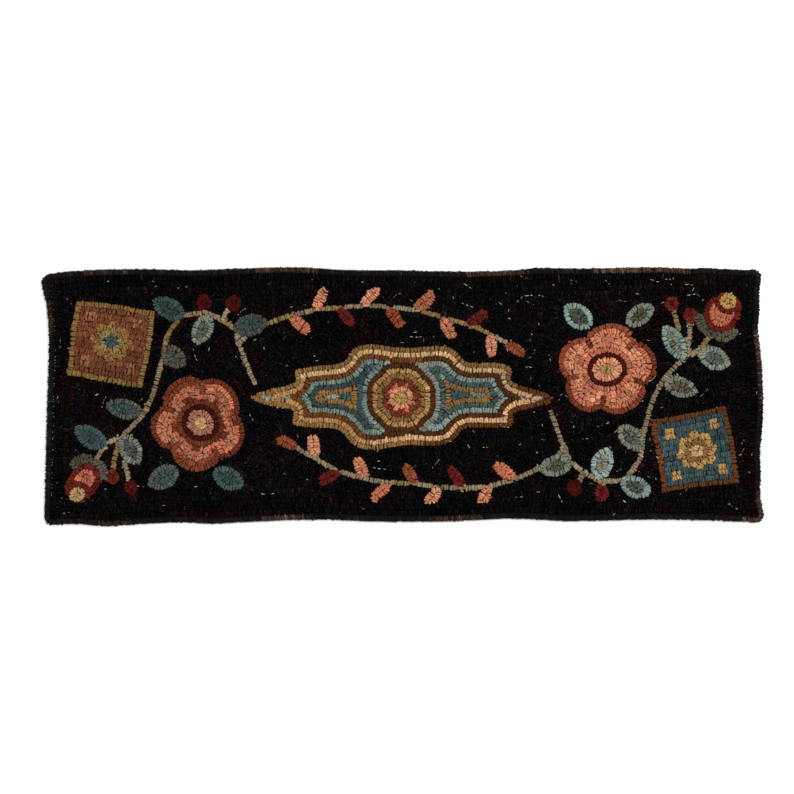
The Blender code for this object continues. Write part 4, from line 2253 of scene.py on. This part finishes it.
def fibre_group() -> bpy.types.NodeTree:
    """Builds the shared wool effect: heathered dye, a fine nap, and painted shade that darkens the colour
    lower down.

    Returns:
        The effect.
    """
    takes = {
        "Dye": (0.5, 0.5, 0.5, 1.0), "Nap Scale": 1500.0, "Heather": 0.3, "Tint": 0.3, "Painted Deep Shade": 0.5,
        "Full Height": 0.0074, "Dullness": 0.9,
    }
    graph = new_effect("wool_fibres", takes, ("Colour", "Roughness", "Height"))
    given = graph.add("NodeGroupInput").outputs
    where = graph.add("ShaderNodeTexCoord").outputs["Object"]
    mottle = graph.noise(where, 480.0, Detail=3.0, Roughness=0.6).outputs["Fac"]
    nap = graph.noise(where, given["Nap Scale"], Detail=2.0).outputs["Fac"]

    def uneven(noise: bpy.types.NodeSocket, most: bpy.types.NodeSocket) -> bpy.types.NodeSocket:
        """Turns a noise into a factor round one."""
        centred = graph.maths("SUBTRACT", noise, 0.5)
        return graph.maths("MAXIMUM", graph.maths("MULTIPLY_ADD", centred, most, 1.0), 0.05)

    strong = graph.maths("MULTIPLY", given["Heather"], 3.2)
    light = graph.maths("MULTIPLY", uneven(mottle, strong), uneven(nap, strong))
    # Painted shade: the colour darkens from the full height down to 3.2 mm, in place of the shade deep in the
    # pile and on the edge's sides.
    high = graph.add("ShaderNodeSeparateXYZ", {0: where}).outputs["Z"]
    least = graph.maths("SUBTRACT", 1.0, given["Painted Deep Shade"])
    heights = {"From Min": 3.2 * MM, "From Max": given["Full Height"], "To Min": least, "To Max": 1.0}
    depth = graph.add("ShaderNodeMapRange", {"Value": high, **heights}, interpolation_type="SMOOTHSTEP")
    light = graph.maths("MULTIPLY", light, depth.outputs[0])
    hue = graph.noise(where, 330.0, Detail=2.0).outputs["Color"]
    swing = graph.maths("MULTIPLY", given["Tint"], 3.0)
    rest = graph.maths("SUBTRACT", 1.0, graph.maths("MULTIPLY", swing, 0.5))
    rest = graph.add("ShaderNodeCombineXYZ", {0: rest, 1: rest, 2: rest}).outputs[0]
    tint = graph.vector("ADD", graph.vector("SCALE", hue, scale=swing), by=rest)
    tinted = graph.vector("MULTIPLY", graph.vector("SCALE", given["Dye"], scale=light), by=tint)
    rough = graph.maths("MULTIPLY_ADD", nap, 0.16, graph.maths("SUBTRACT", given["Dullness"], 0.08))
    graph.add("NodeGroupOutput", {"Colour": tinted, "Roughness": rough, "Height": nap})
    return graph.tree


def ply_group() -> bpy.types.NodeTree:
    """Builds the shared twist of a two-ply yarn, from the yarn's own length and the place round it, with
    painted shade in the groove between its plies.

    Returns:
        The effect.
    """
    takes = {"Colour": (0.5, 0.5, 0.5, 1.0), "Turns": 0.9, "Painted Groove Shade": 0.4}
    graph = new_effect("yarn_ply", takes, ("Colour", "Height"))
    given = graph.add("NodeGroupInput").outputs
    yarn = graph.add("ShaderNodeAttribute", attribute_name="yarn").outputs["Vector"]
    yarn = graph.add("ShaderNodeSeparateXYZ", {0: yarn}).outputs
    phase = graph.maths("MULTIPLY", yarn["X"], given["Turns"])
    sine = graph.maths("MULTIPLY", graph.maths("SINE", phase), yarn["Y"])
    cosine = graph.maths("MULTIPLY", graph.maths("COSINE", phase), yarn["Z"])
    ridge = graph.maths("ABSOLUTE", graph.maths("ADD", sine, cosine))
    # Painted shade: the colour is darker in the groove between the plies.
    dark = graph.maths("MULTIPLY", graph.maths("SUBTRACT", 1.0, ridge), given["Painted Groove Shade"])
    shaded = graph.vector("SCALE", given["Colour"], scale=graph.maths("SUBTRACT", 1.0, dark))
    graph.add("NodeGroupOutput", {"Colour": shaded, "Height": ridge})
    return graph.tree


def weave_group() -> bpy.types.NodeTree:
    """Builds the shared plain weave: threads over and under each other along X and Y.

    Returns:
        The effect.
    """
    graph = new_effect("plain_weave", {"Pitch": 0.002}, ("Height",))
    given = graph.add("NodeGroupInput").outputs
    where = graph.add("ShaderNodeTexCoord").outputs["Object"]
    place = graph.add("ShaderNodeSeparateXYZ", {0: where}).outputs
    turn = graph.maths("DIVIDE", math.pi, given["Pitch"])
    across, up = (graph.maths("MULTIPLY", place[axis], turn) for axis in "XY")
    warp, weft = (graph.maths("ABSOLUTE", graph.maths("SINE", way)) for way in (across, up))
    swap = graph.maths("MULTIPLY", graph.maths("COSINE", across), graph.maths("COSINE", up))
    over = graph.maths("GREATER_THAN", swap, 0.0)
    under = graph.maths("SUBTRACT", 1.0, over)
    height = graph.maths("ADD", graph.maths("MULTIPLY", warp, over), graph.maths("MULTIPLY", weft, under))
    graph.add("NodeGroupOutput", {"Height": height})
    return graph.tree


@dataclass(frozen=True, kw_only=True)
class Linen:
    """The linen that the loops are pulled through, with the stitches on its back."""

    low: float = 0.6
    thickness: float = 1.1
    past_loops: float = 1.0
    rim_step: float = 6.0
    rings: int = 8
    innermost: float = 0.04
    stitch_length: float = 3.5
    stitch_width: float = 2.6
    stitch_levels: tuple[tuple[float, float], ...] = ((0.02, 0.8), (0.7, 1.0))
    sliver_sections: tuple[tuple[float, float], ...] = ((-0.5, 0.35), (-0.25, 1.0), (0.25, 1.0), (0.5, 0.35))
    sliver_half: tuple[float, float] = (0.55, 0.45)
    sliver_sides: int = 5
    flat: tuple[float, float] = (0.300, 0.858)

    def sheet(self, canvas: Canvas, finish: bpy.types.Material) -> bpy.types.Object:
        """Builds the linen as one closed plate with rounded-off corners.

        Args:
            canvas: The field.
            finish: Its material.

        Returns:
            The sheet.
        """
        rim = longest(level_lines(canvas.inside, -self.past_loops, canvas.xs, canvas.ys))
        rim = resampled(rim, True, self.rim_step)
        build = bmesh.new()
        layers = []
        for height in (self.low, self.low + self.thickness):
            rings = [
                [Vector((x * share, y * share, height)) * MM for x, y in rim]
                for share in np.linspace(1.0, self.innermost, self.rings)
            ]
            made = [[build.verts.new(point) for point in ring] for ring in rings]
            for outer, inner in zip(made, made[1:]):
                band(build, outer, inner)
            build.faces.new(made[-1])
            layers.append(made[0])
        band(build, *layers)
        return shown("linen_foundation", build, finish)

    def stitch(self) -> bpy.types.Object:
        """Builds one flat stitch of the back.

        Returns:
            The pattern piece.
        """
        rings = []
        for height, share in self.stitch_levels:
            x, y = share * self.stitch_length / 2, share * self.stitch_width / 2
            rings.append([Vector((u, v, height)) * MM for u, v in ((x, y), (-x, y), (-x, -y), (x, -y))])
        build = bmesh.new()
        lofted(build, rings, False)
        return pattern_object("back_stitch", build)

    def sliver(self) -> bpy.types.Object:
        """Builds one pale thread of linen, a millimetre long before it is stretched.

        Returns:
            The pattern piece.
        """
        wide, high = self.sliver_half
        rings = []
        for along, share in self.sliver_sections:
            rings.append([
                Vector((along, wide * share * math.cos(angle), high * share * math.sin(angle))) * MM
                for angle in np.linspace(0, 2 * math.pi, self.sliver_sides, endpoint=False)
            ])
        build = bmesh.new()
        lofted(build, rings, False)
        return pattern_object("linen_sliver", build)


@dataclass(frozen=True, kw_only=True)
class WhippedEdge:
    """Wool yarn whipped round a cord in the linen's folded rim. Lengths are in millimetres."""

    from_field: float = 4.5
    outside: float = 3.0
    width: float = 8.3
    height: float = 7.6
    pitch: float = 3.0
    radius: float = 1.4
    stray: float = 0.3
    yarn_stray: float = 5.0
    uneven: float = 0.4
    thickness_stray: float = 0.10
    width_stray: float = 0.03
    slant: float = 1.1
    # How far the cord reaches in under the gap to the field, where its dark dye stands in for shade.
    core_reach: float = 1.6
    squareness: float = 0.95
    round_steps: int = 12
    sides: int = 6
    path_passes: int = 6
    core_step: float = 6.0
    core_inset: float = 0.1
    wrap_inset: float = 0.03
    yarns: tuple[tuple[float, float, Yarn], ...] = (
        (-425, 156, Yarn.CHARCOAL), (-395, 156, Yarn.CHARCOAL), (-354, 156, Yarn.BARK),
        (-310, 156, Yarn.BOTTLE), (-250, 156, Yarn.CHARCOAL), (-205, 156, Yarn.CHARCOAL),
        (-140, 156, Yarn.RUSSET), (-70, 156, Yarn.CHARCOAL), (0, 156, Yarn.BOTTLE), (40, 156, Yarn.CHARCOAL),
        (110, 156, Yarn.RUSSET), (180, 156, Yarn.CHARCOAL), (215, 156, Yarn.CHARCOAL),
        (250, 156, Yarn.FAWN), (320, 156, Yarn.RUSSET), (375, 156, Yarn.CHARCOAL), (425, 156, Yarn.BOTTLE),
        (432, 110, Yarn.CHARCOAL), (432, 60, Yarn.RUSSET), (432, 15, Yarn.BARK), (432, -40, Yarn.CHARCOAL),
        (432, -90, Yarn.CHARCOAL), (430, -150, Yarn.RUSSET), (390, -156, Yarn.CHARCOAL),
        (300, -156, Yarn.BOTTLE), (220, -156, Yarn.CHARCOAL), (130, -156, Yarn.CHARCOAL),
        (62, -156, Yarn.BARK), (10, -156, Yarn.CHARCOAL), (-80, -156, Yarn.CHARCOAL),
        (-140, -156, Yarn.RUSSET), (-200, -156, Yarn.BOTTLE), (-300, -156, Yarn.CHARCOAL),
        (-348, -156, Yarn.BARK), (-390, -156, Yarn.CHARCOAL), (-432, -120, Yarn.BOTTLE),
        (-432, -60, Yarn.CHARCOAL), (-432, 0, Yarn.BOTTLE), (-432, 50, Yarn.CHARCOAL),
        (-432, 102, Yarn.BARK), (-432, 140, Yarn.CHARCOAL),
    )

    def section(self, inset: float) -> list[tuple[float, float]]:
        """Draws the edge's section.

        Args:
            inset: How far it is drawn in all round.

        Returns:
            Its points, each a place across the edge and up it.
        """
        half, rise = self.width / 2 - inset, self.height / 2 - inset
        found = []
        for k in range(self.round_steps):
            angle = 2 * math.pi * (k + 0.5) / self.round_steps
            across, up = math.cos(angle), math.sin(angle)
            found.append((
                half * math.copysign(abs(across) ** self.squareness, across),
                self.height / 2 + rise * math.copysign(abs(up) ** self.squareness, up),
            ))
        return found

    def path(self, canvas: Canvas, step: float) -> tuple[np.ndarray, np.ndarray]:
        """Walks once round the field in even steps of the edge's outer side.

        Args:
            canvas: The field.
            step: The length of a step.

        Returns:
            The places on the edge's middle line, and the headings there.
        """
        outer = self.from_field + self.outside
        line = longest(level_lines(canvas.inside, -outer, canvas.xs, canvas.ys))
        line = resampled(smoothed(resampled(line, True, 1.0), True, self.path_passes), True, step)
        heading = np.roll(line, -1, axis=0) - np.roll(line, 1, axis=0)
        heading /= np.hypot(*heading.T)[:, None]
        return line + self.outside * left_of(heading), heading

    def wrap(self) -> bpy.types.Object:
        """Builds one turn of yarn, with its length and the place round it kept for the twist.

        Returns:
            The pattern piece.
        """
        line = []
        for across, up in self.section(self.radius + self.wrap_inset):
            line.append(Vector((-self.slant * across / self.width * 2, across, up)))
        build = bmesh.new()
        layer = build.verts.layers.float_vector.new("yarn")
        rings, notes = [], []
        gone = 0.0
        for k, point in enumerate(line):
            before, after = line[k - 1], line[(k + 1) % len(line)]
            forward = (after - before).normalized()
            sideways = forward.cross(Vector((1, 0, 0))).normalized()
            other = sideways.cross(forward)
            ring = []
            for m in range(self.sides):
                angle = 2 * math.pi * m / self.sides
                cosine, sine = math.cos(angle), math.sin(angle)
                ring.append((point + self.radius * (cosine * sideways + sine * other)) * MM)
                notes.append((gone, cosine, sine))
            rings.append(ring)
            gone += (after - point).length
        made = lofted(build, rings, True)
        for vertex, note in zip((v for ring in made for v in ring), notes):
            vertex[layer] = note
        return pattern_object("yarn_wrap", build)

    def core(self, canvas: Canvas, finish: bpy.types.Material) -> bpy.types.Object:
        """Builds the covered cord, dyed charcoal all round; where it shows between the turns of yarn, its
        dark dye is painted shade.

        Args:
            canvas: The field.
            finish: The cord's material.

        Returns:
            The cord.
        """
        rings = []
        for (x, y), way in zip(*self.path(canvas, self.core_step)):
            ring = []
            for across, up in self.section(self.radius - self.core_inset):
                across += self.core_reach * (across > 0)
                ring.append(Vector((x - across * way[1], y + across * way[0], up)) * MM)
            rings.append(ring)
        build = bmesh.new()
        lofted(build, rings, True)
        item = shown("covered_edge_cord", build, finish)
        # Painted shade: the cord is dyed the darkest yarn all round, so that the gaps between the turns and
        # by the field read dark.
        dye = item.data.attributes.new("dye", "FLOAT_COLOR", "POINT")
        dye.data.foreach_set("color", [*Yarn.CHARCOAL.value, 1.0] * len(item.data.vertices))
        return item

    def stations(self, canvas: Canvas, top: Top, rng: np.random.Generator) -> Stations:
        """Places the turns of yarn along the edge.

        Args:
            canvas: The field.
            top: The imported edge, whose top the yarn reaches.
            rng: The source of unevenness.

        Returns:
            Their stations.
        """
        place, heading = self.path(canvas, self.pitch)
        count = len(place)
        anchors = np.array([(x, y) for x, y, _ in self.yarns])
        apart = place[:, None] - anchors[None] + rng.normal(0, self.yarn_stray, (count, 1, 2))
        away = np.hypot(*apart.transpose(2, 0, 1))
        colour = np.array([self.yarns[k][2].value for k in away.argmin(axis=1)])
        colour = colour * rng.lognormal(0.0, self.uneven, (count, 1))
        place = place + rng.normal(0.0, self.stray, (count, 2))
        height = np.array([top.height(x, y, self.height) for x, y in place])
        size = np.column_stack([
            rng.normal(1.0, self.thickness_stray, count), rng.normal(1.0, self.width_stray, count),
            height / self.height,
        ])
        flat = np.zeros(count)
        return Stations(np.column_stack([place, flat]) * MM, np.column_stack([heading, flat]), size, colour)


def longest(lines: Iterable[np.ndarray]) -> np.ndarray:
    """Chooses the line with the most points.

    Args:
        lines: The closed lines to choose from.

    Returns:
        The line, turned to run anticlockwise.
    """
    line = max(lines, key=len)
    after = np.roll(line, -1, axis=0)
    area = (line[:, 0] * after[:, 1] - after[:, 0] * line[:, 1]).sum()
    return line if area > 0 else line[::-1]


def shown(name: str, build: bmesh.types.BMesh, finish: bpy.types.Material) -> bpy.types.Object:
    """Turns built faces into a smooth piece of the scene.

    Args:
        name: The piece's name.
        build: Its faces.
        finish: Its material.

    Returns:
        The piece.
    """
    item = pattern_object(name, build)
    item.data.materials.append(finish)
    bpy.context.scene.collection.objects.link(item)
    return item


@dataclass(frozen=True, kw_only=True)
class Flecks:
    """Pale linen threads between the rows of the ground, and in the joint at the left end, in millimetres."""

    chains: int = 165
    more_right: float = 0.6
    more_above: float = 0.5
    above: float = 40.0
    links: tuple[int, ...] = (1, 1, 1, 1, 1, 1, 2, 2, 3)
    length: tuple[float, float] = (1.6, 5.5)
    turn: float = 0.4
    below_top: tuple[float, float] = (0.5, 1.4)
    width: tuple[float, float] = (0.55, 0.95)
    dye: Colour = (0.46, 0.42, 0.34)
    shade: tuple[float, float] = (0.25, 1.0)
    between: tuple[float, float] = (1.0, 3.0)
    joint_inset: float = 0.4
    joint_step: float = 4.0
    joint_left_of: float = -400.0
    joint_middle: float = 5.0
    joint_half: float = 125.0
    joint_share: float = 0.55
    joint_stray: tuple[float, float] = (0.3, 0.8)
    joint_height: float = 6.6
    joint_length: tuple[float, float] = (0.8, 2.0)
    joint_thickness: tuple[float, float] = (0.6, 0.8)
    joint_dye: Colour = (0.40, 0.36, 0.28)
    joint_shade: tuple[float, float] = (0.2, 0.7)

    def stations(self, pile: Pile, top: Top, rng: np.random.Generator) -> Stations:
        """Chooses where the threads show.

        Args:
            pile: The loops.
            top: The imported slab's top.
            rng: The source of chance.

        Returns:
            The threads' stations.
        """
        found = [*self.chained(pile, top, rng), *self.in_joint(pile.canvas, rng)]
        place, heading, size, colour = (np.array(kind) for kind in zip(*found))
        return Stations(place * MM, heading, size, colour)

    def chained(self, pile: Pile, top: Top, rng: np.random.Generator) -> list[tuple[tuple[float, ...], ...]]:
        """Lays the threads of the ground in short chains along its rows.

        Args:
            pile: The loops.
            top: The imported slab's top.
            rng: The source of chance.

        Returns:
            The place, heading, size and colour of each thread.
        """
        ground = np.flatnonzero(pile.in_ground)
        right, above = (pile.place[ground] > (0, self.above)).T
        weight = 1.0 + self.more_right * right + self.more_above * above
        side = pile.side
        found = []
        for start in rng.choice(ground, self.chains, replace=False, p=weight / weight.sum()):
            edge = pile.place[start] + 0.5 * pile.width[start] * side[start] * rng.choice((-1.0, 1.0))
            x, y = pile.heading[start]
            for _ in range(rng.choice(self.links)):
                length = rng.uniform(*self.length)
                turn = rng.normal(0.0, self.turn)
                cosine, sine = math.cos(turn), math.sin(turn)
                x, y = heading = np.array([x * cosine - y * sine, x * sine + y * cosine])
                middle = edge + heading * length / 2
                high = top.height(*middle, LOOP_FOOT + LoopPattern.HEIGHT) - rng.uniform(*self.below_top)
                size = (length, rng.uniform(*self.width), 1.0)
                colour = np.array(self.dye) * rng.uniform(*self.shade)
                found.append(((*middle, high), (x, y, 0.0), size, colour))
                edge = edge + heading * (length + rng.uniform(*self.between))
        return found

    def in_joint(self, canvas: Canvas, rng: np.random.Generator) -> list[tuple[tuple[float, ...], ...]]:
        """Lays the dots of thread in the joint between the field and the edge.

        Args:
            canvas: The field.
            rng: The source of chance.

        Returns:
            The place, heading, size and colour of each dot.
        """
        joint = longest(level_lines(canvas.inside, self.joint_inset, canvas.xs, canvas.ys))
        joint = resampled(joint, True, self.joint_step)
        beside = np.abs(joint[:, 1] - self.joint_middle) < self.joint_half
        beside &= joint[:, 0] < self.joint_left_of
        across, along = self.joint_stray
        found = []
        for x, y in joint[beside & (rng.random(len(joint)) < self.joint_share)]:
            place = (x + rng.normal(0.0, across), y + rng.normal(0.0, along), self.joint_height)
            heading = (rng.normal(0.0, self.turn), 1.0, 0.0)
            size = (rng.uniform(*self.joint_length), *self.joint_thickness)
            colour = np.array(self.joint_dye) * rng.uniform(*self.joint_shade)
            found.append((place, heading, size, colour))
        return found


class Studio:
    """A plain pale floor, soft light and a camera straight above."""

    VIEW_WIDTH = 955.2 * MM
    CENTRE = (-6.8 * MM, -0.35 * MM)
    LENS = 90.0
    SENSOR = 36.0
    FLOOR_HALF = 3.0
    FLOOR_SHADES = (0.93, 0.95)
    FLOOR_ROUGHNESS = 0.9
    LAMPS = (("key", (0.9, 0.7, 1.7), 1.4, 36.0), ("fill", (-1.1, -0.6, 1.5), 1.6, 13.0))
    ROOM = 0.75

    def build(self, top: float) -> None:
        """Makes the stage.

        Args:
            top: The height of the pile, where the camera's view has its stated width.
        """
        self.floor()
        self.camera(top)
        self.lights()

    def floor(self) -> None:
        """Makes the floor."""
        material, graph, shader = new_material("pale_floor")
        where = graph.add("ShaderNodeTexCoord").outputs["Object"]
        low, high = ((shade, shade, shade, 1.0) for shade in self.FLOOR_SHADES)
        noise = graph.noise(where, 3.0)
        shades = graph.add("ShaderNodeMix", {0: noise.outputs["Fac"], 6: low, 7: high}, data_type="RGBA")
        graph.feed(shader, {"Base Color": shades.outputs[2], "Roughness": self.FLOOR_ROUGHNESS})
        build = bmesh.new()
        bmesh.ops.create_grid(build, x_segments=1, y_segments=1, size=self.FLOOR_HALF)
        mesh = bpy.data.meshes.new("floor")
        build.to_mesh(mesh)
        build.free()
        mesh.materials.append(material)
        item = bpy.data.objects.new("floor", mesh)
        bpy.context.scene.collection.objects.link(item)
        item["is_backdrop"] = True

    def camera(self, top: float) -> None:
        """Makes the camera, straight above.

        Args:
            top: The height at which its view has its stated width.
        """
        data = bpy.data.cameras.new("camera")
        data.lens, data.sensor_width = self.LENS, self.SENSOR
        item = bpy.data.objects.new("camera", data)
        item.location = (*self.CENTRE, top + self.VIEW_WIDTH * self.LENS / self.SENSOR)
        bpy.context.scene.collection.objects.link(item)
        bpy.context.scene.camera = item

    def lights(self) -> None:
        """Makes one large soft lamp, a weaker one across from it, and even light all round."""
        for name, place, size, power in self.LAMPS:
            data = bpy.data.lights.new(name, "AREA")
            data.size, data.energy = size, power
            item = bpy.data.objects.new(name, data)
            item.location = place
            item.rotation_euler = (-Vector(place)).to_track_quat("-Z", "Y").to_euler()
            bpy.context.scene.collection.objects.link(item)
        world = bpy.data.worlds.new("soft_room")
        world.use_nodes = True
        background = world.node_tree.nodes["Background"]
        Graph(world.node_tree).feed(background, {"Color": (1.0, 1.0, 1.0, 1.0), "Strength": self.ROOM})
        bpy.context.scene.world = world
        bpy.context.scene.view_settings.view_transform = "Standard"


# Each finish darkens its colour lower down as painted shade; the edge yarn's is strongest, for the shaded
# sides of its rolled edge.
WOOL_FINISHES = (
    WoolFinish(
        name="black_wool", nap_scale=1500.0, nap_depth=0.3, heather=1.9, tint=0.45, painted_deep_shade=0.9,
        full_height=7.4, sheen=0.0, gloss=0.02, roughness=0.95,
    ),
    WoolFinish(
        name="dyed_wool", nap_scale=1500.0, nap_depth=0.3, heather=0.65, tint=0.2, painted_deep_shade=0.65,
        full_height=7.4, sheen=0.015, gloss=0.05, roughness=0.93,
    ),
    WoolFinish(
        name="edge_yarn", nap_scale=1800.0, nap_depth=0.2, heather=1.3, tint=0.3, painted_deep_shade=0.96,
        full_height=7.9, sheen=0.01, gloss=0.04, roughness=0.92, plied=True,
    ),
    WoolFinish(
        name="linen_thread", nap_scale=2500.0, nap_depth=0.1, heather=0.4, tint=0.1, painted_deep_shade=0.2,
        full_height=7.4, sheen=0.02, gloss=0.2, roughness=0.85,
    ),
)
# Both colours are darker than clean linen: partly dust, partly painted shade deep in the pile.
NATURAL_LINEN = LinenFinish(
    name="natural_linen", thread_pitch=1.9, pale=(0.34, 0.28, 0.20), dark=(0.12, 0.10, 0.07)
)
LOOP_KINDS = (
    {"name": "loop_a", "bend": 0.30, "twist": 0.0, "slump": 0.30},
    {"name": "loop_b", "bend": -0.40, "twist": 0.10, "slump": 0.60},
    {"name": "loop_c", "bend": 0.10, "twist": -0.14, "slump": 0.20},
    {"name": "loop_d", "bend": -0.10, "twist": 0.18, "slump": 0.45},
    {"name": "loop_e", "bend": 0.45, "twist": -0.06, "slump": 0.80},
)

# The most that a piece leans and turns, in radians
LOOP_LEAN = 0.16
LOOP_TURN = 0.15
FLECK_LEAN = 0.1
YARN_TURN = 0.08


def dress(piece: bpy.types.Object, node: str) -> None:
    """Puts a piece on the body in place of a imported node, and reports it.

    Args:
        piece: The piece.
        node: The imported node.
    """
    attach(piece, BODY)
    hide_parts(node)
    LOG.info("%s: %d faces", piece.name, len(piece.data.polygons))


def main() -> None:
    """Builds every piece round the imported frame."""
    logging.basicConfig(level=logging.INFO, format="%(message)s")
    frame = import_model()
    cad_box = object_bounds()
    rng = np.random.default_rng(SEED)
    field_node, edge_node = frame["nodes"]["hooked_field"], frame["nodes"]["whipped_edge"]
    canvas = Canvas(field_node)
    pile = hooked(canvas, rng)
    LOG.info("%d loops", len(pile.place))
    top, edge_top = Top(field_node), Top(edge_node)
    fibres, ply = fibre_group(), ply_group()
    dark, dyed, yarn, thread = (finish.made(fibres, ply) for finish in WOOL_FINISHES)
    linen = Linen()
    edge = WhippedEdge()
    cloth = linen.sheet(canvas, NATURAL_LINEN.made())
    dress(cloth, "hooked_field")
    tree = StationTree()
    for part in Part:
        finish = dark if part in (Part.GROUND_LEFT, Part.GROUND_RIGHT) else dyed
        patterns = [LoopPattern(**kind).made() for kind in LOOP_KINDS]
        stations = pile.stations(pile.members(part), top)
        piece = tree.piece(part.value, stations, patterns, finish, lean=LOOP_LEAN, turn=LOOP_TURN)
        dress(piece, "hooked_field")
    everyone = pile.stations(np.arange(len(pile.place)), top)
    everyone.place[:, 2] = 0.0
    everyone.size[:] = 1.0
    stitches = tree.piece("back_stitches", everyone, [linen.stitch()], dyed, turn=LOOP_TURN)
    dress(stitches, "hooked_field")
    threads = Flecks().stations(pile, top, rng)
    flecks = tree.piece("linen_flecks", threads, [linen.sliver()], thread, lean=FLECK_LEAN)
    dress(flecks, "hooked_field")
    turns = edge.stations(canvas, edge_top, rng)
    wraps = tree.piece("whipped_yarn", turns, [edge.wrap()], yarn, turn=YARN_TURN)
    cord = edge.core(canvas, yarn)
    for piece in (wraps, cord):
        dress(piece, "whipped_edge")
    Studio().build(cad_box[1].z)


if __name__ == "__main__":
    main()
